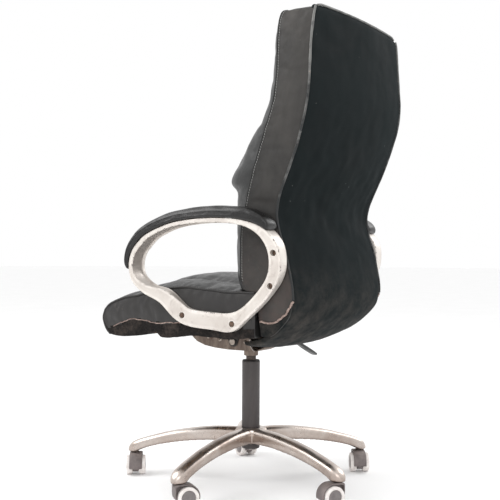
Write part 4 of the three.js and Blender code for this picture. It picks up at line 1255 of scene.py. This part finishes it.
def add_rear_panel():
    line = smooth_curve(REAR_LINE, 190)
    normals = rear_normals(line)
    lanes = np.concatenate([[-1, -0.994, -0.98], np.linspace(-0.955, 0.955, 64), [0.98, 0.994, 1]])
    rings = []
    for lane in lanes:
        side = abs(lane)
        bulge = 16 * (1 - side ** 2)
        lip = 2.2 * smoothstep((side - 0.975) / 0.025) ** 2
        half = line[:, 2] - 1.2
        ends = np.minimum(np.arange(190), np.arange(190)[::-1])
        end_lip = 3 * (1 - smoothstep(ends / 3))
        out = bulge - lip - end_lip
        outer = np.stack([lane * half, line[:, 0] + normals[:, 0] * out, line[:, 1] + normals[:, 1] * out], 1)
        depth = bulge - 12.5
        inner = np.stack([lane * (half - 1), line[:, 0] + normals[:, 0] * depth,
            line[:, 1] + normals[:, 1] * depth], 1)
        rings.append(np.vstack([outer, inner[::-1]]))
    points = np.vstack(rings)
    faces = ring_faces(len(lanes), 380, caps=False)
    for first in (0, (len(lanes) - 1) * 380):
        faces += [(first + j, first + j + 1, first + 378 - j, first + 379 - j) for j in range(189)]
    obj = new_piece("rear_panel", points, faces, "seat", M["suede"], "rear_suede", ["back_shell"])
    # soft folds of the stretched cloth, strongest round the waist
    height = points[:, 2]
    waist = np.exp(-((height - 770) / 170) ** 2)
    soft = fractal(points * np.array([1, 1, 1.6]), 150, 2.3, 3) * (1.2 + 3.2 * waist)
    soft += fractal(points * np.array([1.5, 1, 0.7]), 70, 7.7, 2) * (0.5 + 1.2 * waist)
    edge = smoothstep((1 - np.abs(points[:, 0]) / back_half(height)) / 0.12)
    tucks = smoothstep(1 - (1 - np.abs(points[:, 0]) / back_half(height)) / 0.1)
    ripple = np.sin(height / 13 + 2 * fractal(points, 60, 9.0, 2)) * 0.8 * tucks * (fractal(points, 90, 1.2,
        2) > 0)
    mask = np.tile(np.concatenate([np.ones(190), np.zeros(190)]), len(lanes))
    normals3 = np.tile(np.vstack([np.insert(normals, 0, 0, axis=1)] * 2), (len(lanes), 1))
    write_points(obj, points + normals3 * ((soft * edge + ripple) * mask)[:, None])
    modifier(obj, "SUBSURF", levels=1, render_levels=1)
    for side, name in ((1, "left"), (-1, "right")):
        rim = smooth_curve(REAR_LINE, 220)
        path = np.stack([side * (rim[:, 2] - 0.4), rim[:, 0] - 0.6, rim[:, 1]], 1)
        main = path[(path[:, 2] > 520) & (path[:, 2] < 1234)]
        wobble = fractal(main, 40, 5.5 + side, 2)
        radius = 3.0 + 0.5 * wobble
        new_piece(f"rear_piping_{name}", *tube(main, radius, 12), "seat", M["piping"], None)
        torn = np.array([[side * 255, 276, 520], [side * 256, 263, 499], [side * 256, 249, 485],
            [side * 255, 231, 471],
                         [side * 254, 213, 464], [side * 253, 194, 464], [side * 252, 178, 468]])
        torn = smooth_curve(torn, 70)
        torn[:, 0] = side * (back_half(torn[:, 2]) + 1.2)
        torn[:, 1:] += np.stack([fractal(torn, 14, 3.3), fractal(torn, 17, 6.1)], 1) * 2.0
        new_piece(f"torn_piping_{name}", *tube(torn, 2.6 + 0.9 * fractal(torn, 9, 2.0), 10), "seat",
            M["torn"], None)
    cross = np.stack([np.linspace(-228, 228, 90), np.zeros(90), np.full(90, 1241.5)], 1)
    share = np.abs(cross[:, 0]) / 236
    cross[:, 1] = 325 + 15 * (1 - share ** 2)
    cross[:, 2] -= 5 * smoothstep((share - 0.88) / 0.12)
    new_piece("top_piping", *tube(cross, 2.8, 12), "seat", M["piping"], None)


add_seat()
finish_back(*add_back())
add_rear_panel()

# ---- Arms ------------------------------------------------------------------------------------

# Once round the arm: [outer y, z, inner y, z, near face, far face, hollow inwards, hollow outwards].
ARM_LOOP = [
    [-171, 562, -158, 574, 266, 319, 5, 0.5], [-181, 600, -168, 600, 266, 320, 6, 0],
    [-174, 634, -161, 630, 266, 320, 6, 0], [-154, 661, -142, 653, 266, 320, 6, 0],
    [-120, 686, -112, 677, 266, 320, 6, 0], [-50, 711, -48, 701, 266, 320, 5, 0],
        [30, 722, 30, 711, 266, 320, 5, 0],
    [110, 723, 110, 711, 266, 320, 5, 0], [176, 716, 171, 703, 266, 318, 6, 0],
        [225, 697, 209, 682, 265, 312, 6, 0],
    [256, 662, 228, 650, 263, 302, 5, 1], [264, 614, 230, 612, 261, 293, 2, 1.5],
    [253, 572, 217, 574, 260, 286, 0.5, 1.6], [216, 524, 184, 535, 260, 281, 0, 1.6],
    [165, 478, 142, 500, 260, 278, 0, 1.6], [114, 440, 104, 486, 259, 276, 0, 1.4],
    [50, 442, 50, 486, 259, 276, 0, 1.4], [-20, 448, -14, 492, 259, 276, 0, 1.8],
    [-62, 466, -44, 511, 260, 280, 0.5, 2.5], [-100, 507, -84, 540, 261, 294, 2, 2.5],
    [-140, 531, -128, 552, 264, 311, 4, 1.5],
]
ARM_SCREWS = [[-40, 475, 276], [113, 459, 276], [228, 557, 286], [245, 638, 297]]
PAD_HEIGHTS = [[1, 16], [2, 22], [3, 26], [4, 27], [5, 27], [6, 28], [7, 29], [8, 29], [9, 24]]


def arm_curves(count):
    """The loop's rows, interpolated evenly by row number, and those numbers."""
    rows = np.array(ARM_LOOP, float)
    total = len(rows)
    keys = np.linspace(0, total, count, endpoint=False)
    out = []
    for value in keys:
        i, f = int(value), value - int(value)
        a, b, c, d = (rows[(i + k) % total] for k in (-1, 0, 1, 2))
        out.append(0.5 * (2 * b + (c - a) * f + (2 * a - 5 * b + 4 * c - d) * f ** 2
                          + (3 * b - a - 3 * c + d) * f ** 3))
    return np.array(out), keys


def band_section(depth, width, hollow_in, hollow_out):
    """Points of the band's section: u runs from the outer to the inner face, v from the near to the far one.
    Also gives how near each point is to a rim, and how deep in the hollow."""
    r = min(2.4, depth * 0.3, width * 0.3)
    plan = []
    corner = lambda cu, cv, start: [[cu + r * math.cos(a), cv + r * math.sin(a)]
                                    for a in np.radians(np.linspace(start, start + 90, 4))]
    side = lambda p, q, n: [list(np.array(p) + (np.array(q) - np.array(p)) * k / (n + 1)) for k in range(1,
        n + 1)]
    plan += corner(depth - r, width - r, 0)
    plan += side([depth - r, width], [r, width], 10)
    plan += corner(r, width - r, 90)
    plan += side([0, width - r], [0, r], 6)
    plan += corner(r, r, 180)
    plan += side([r, 0], [depth - r, 0], 4)
    plan += corner(depth - r, r, 270)
    plan += side([depth, r], [depth, width - r], 14)
    out, edge, low = [], [], []
    for u, v in plan:
        inwards = smoothstep((min(v,
            width - v) - 3.2) / 3.5) * smoothstep((u - depth + 1) / 1) if hollow_in > 0 else 0
        outwards = smoothstep((min(u,
            depth - u) - 4.5) / 3.5) * smoothstep((v - width + 1) / 1) if hollow_out > 0 else 0
        out.append([u - hollow_in * inwards, v - hollow_out * outwards])
        rim = max(1 - min(abs(u), abs(depth - u)) / 5, 0) * max(1 - min(abs(v), abs(width - v)) / 5, 0)
        edge.append(rim)
        low.append(max(inwards, 0.6 * outwards))
    return np.array(out), edge, low


def arm_band():
    curves, _ = arm_curves(210)
    points, edges, lows = [], [], []
    for oy, oz, iy, iz, near, far, hollow_in, hollow_out in curves:
        outer, inner = np.array([oy, oz]), np.array([iy, iz])
        depth = np.linalg.norm(inner - outer)
        run = (inner - outer) / depth
        plan, edge, low = band_section(depth, far - near, max(hollow_in, 0), max(hollow_out, 0))
        yz = outer + plan[:, :1] * run
        points.append(np.column_stack([near + plan[:, 1], yz]))
        edges += edge
        lows += low
    count = len(plan)
    return np.vstack(points), ring_faces(len(curves), count,
        closed_rings=True), np.array(edges), np.array(lows)


def cutter(points, faces):
    mesh = bpy.data.meshes.new("cutter")
    mesh.from_pydata(place(points).tolist(), [], [list(map(int, f)) for f in faces])
    obj = bpy.data.objects.new("cutter", mesh)
    scene.collection.objects.link(obj)
    return obj


def add_arms():
    points, faces, edges, lows = arm_band()
    for side, name in ((1, "left"), (-1, "right")):
        mirrored = points * np.array([side, 1, 1])
        arm = new_piece(f"arm_{name}", mirrored, faces, "seat", M["arm"], "arm_paint", [f"arm_frame_{name}"])
        for label, values in (("edge", edges), ("hollow", lows)):
            layer = arm.data.attributes.new(label, "FLOAT", "POINT")
            layer.data.foreach_set("value", values.astype(np.float32))
        holes = []
        for y, z, face in ARM_SCREWS:
            holes.append(lathe([[0, side * 269], [8, side * 269], [8, side * (face + 6)],
                [0, side * (face + 6)]],
                               32, "x", (0, y, z)))
        tool = cutter(*joined(*holes))
        bm = bmesh.new()
        bm.from_mesh(tool.data)
        bmesh.ops.recalc_face_normals(bm, faces=bm.faces)
        bm.to_mesh(tool.data)
        bm.free()
        modifier(arm, "BOOLEAN", operation="DIFFERENCE", solver="EXACT", object=tool)
        apply_modifiers(arm)
        bpy.data.objects.remove(tool)
        crisp(arm, 38)
    add_pads()


def pad_rings():
    curves, keys = arm_curves(210)
    first, last = 8, 92
    rings = []
    heights = np.array(PAD_HEIGHTS, float)
    section = [[-0.86, 0], [-0.97, 0.1], [-1.0, 0.28], [-1.0, 0.45], [-0.97, 0.62], [-0.88, 0.78],
        [-0.72, 0.9],
               [-0.45, 0.97], [-0.15, 1.0], [0.15, 1.0], [0.45, 0.97], [0.72, 0.9], [0.88, 0.78],
                   [0.97, 0.62],
               [1.0, 0.45], [1.0, 0.28], [0.97, 0.1], [0.86, 0]]
    section = smooth_curve(section, 40)
    floor = [[0.5, 0.02], [0, 0.02], [-0.5, 0.02]]
    section = np.vstack([section, floor])
    for i in range(first, last + 1):
        oy, oz, iy, iz, near, far, _, _ = curves[i]
        outer, inner = np.array([oy, oz]), np.array([iy, iz])
        up = (outer - inner) / np.linalg.norm(outer - inner)
        ends = min(i - first, last - i)
        rise = math.sqrt(1 - (1 - min(ends / 7, 1)) ** 2)
        height = np.interp(keys[i], heights[:, 0], heights[:, 1]) * (0.12 + 0.88 * rise)
        half = (far - near) / 2 * (0.88 + 0.12 * rise) + 4.0
        middle = (far + near) / 2
        yz = outer + np.outer(0.5 + section[:, 1] * height, up)
        rings.append(np.column_stack([middle + section[:, 0] * half, yz]))
    return rings


def add_pads():
    rings = pad_rings()
    count = len(rings[0])
    points = np.vstack(rings)
    made = None
    for side, name in ((1, "left"), (-1, "right")):
        if made is None:
            pad = new_piece(f"pad_{name}", points, ring_faces(len(rings), count), "seat", M["pad"],
                "pad_leather",
                            [f"arm_pad_{name}"])
            pins = np.zeros(len(points))
            place_in = np.tile(np.arange(count), len(rings))
            pins[(place_in < 4) | (place_in > 35)] = 1.0
            ring_of = np.repeat(np.arange(len(rings)), count)
            pins[(ring_of < 2) | (ring_of > len(rings) - 3)] = 1.0
            inflate(pad, pins, 1.6, 2.2, frames=12, shrink=-0.008)
            made = read_points(pad)
            made += np.column_stack([np.zeros(len(made)), fractal(made, 60, 1.1, 2),
                fractal(made, 45, 2.1, 2)]) * 0.8
            write_points(pad, made)
        else:
            pad = new_piece(f"pad_{name}", made * np.array([-1, 1, 1]), ring_faces(len(rings), count), "seat",
                            M["pad"], "pad_leather", [f"arm_pad_{name}"])
        modifier(pad, "SUBSURF", levels=1, render_levels=1)
        tree = surface_tree(pad)
        for row, label in ((7, "near"), (32, "far")):
            line = made.reshape(len(rings), count, 3)[3:-3, row] * np.array([side, 1, 1])
            new_piece(f"pad_welt_{name}_{label}", *tube(on_surface(tree, smooth_curve(line, 90), 0.1)[0],
                1.0, 8),
                      "seat", M["pad"], None)


add_arms()

# ---- CAD nodes that stay, with better finishes ----------------------------------------------


def dress(name, material, bevel=0.4):
    obj = nodes[name]
    obj.data.materials.clear()
    obj.data.materials.append(material)
    if bevel:
        modifier(obj, "BEVEL", width=bevel * 0.001, segments=2, limit_method="ANGLE",
            angle_limit=math.radians(35))


dress("tilt_housing", M["dusty"], 0.8)
dress("seat_plate", M["plate"], 0.6)
dress("seat_board", M["plywood"], 1.2)
for i in range(1, 5):
    dress(f"seat_plate_bolt_{i}", M["zinc"])
for side in ("left", "right"):
    for i in range(1, 5):
        dress(f"arm_screw_{side}_{i}", M["rusty"])
for i in range(1, 6):
    dress(f"caster_axle_{i}", M["zinc"], 0.3)
dress("thrust_bearing", M["bright"], 0.3)
dress("retaining_clip", M["bright"], 0.2)
dress("piston_rod", M["bright"], 0.3)
dress("tilt_axle", M["zinc"], 0.5)
dress("torsion_spring", M["zinc"], 0)
dress("release_button", M["black"], 0.3)
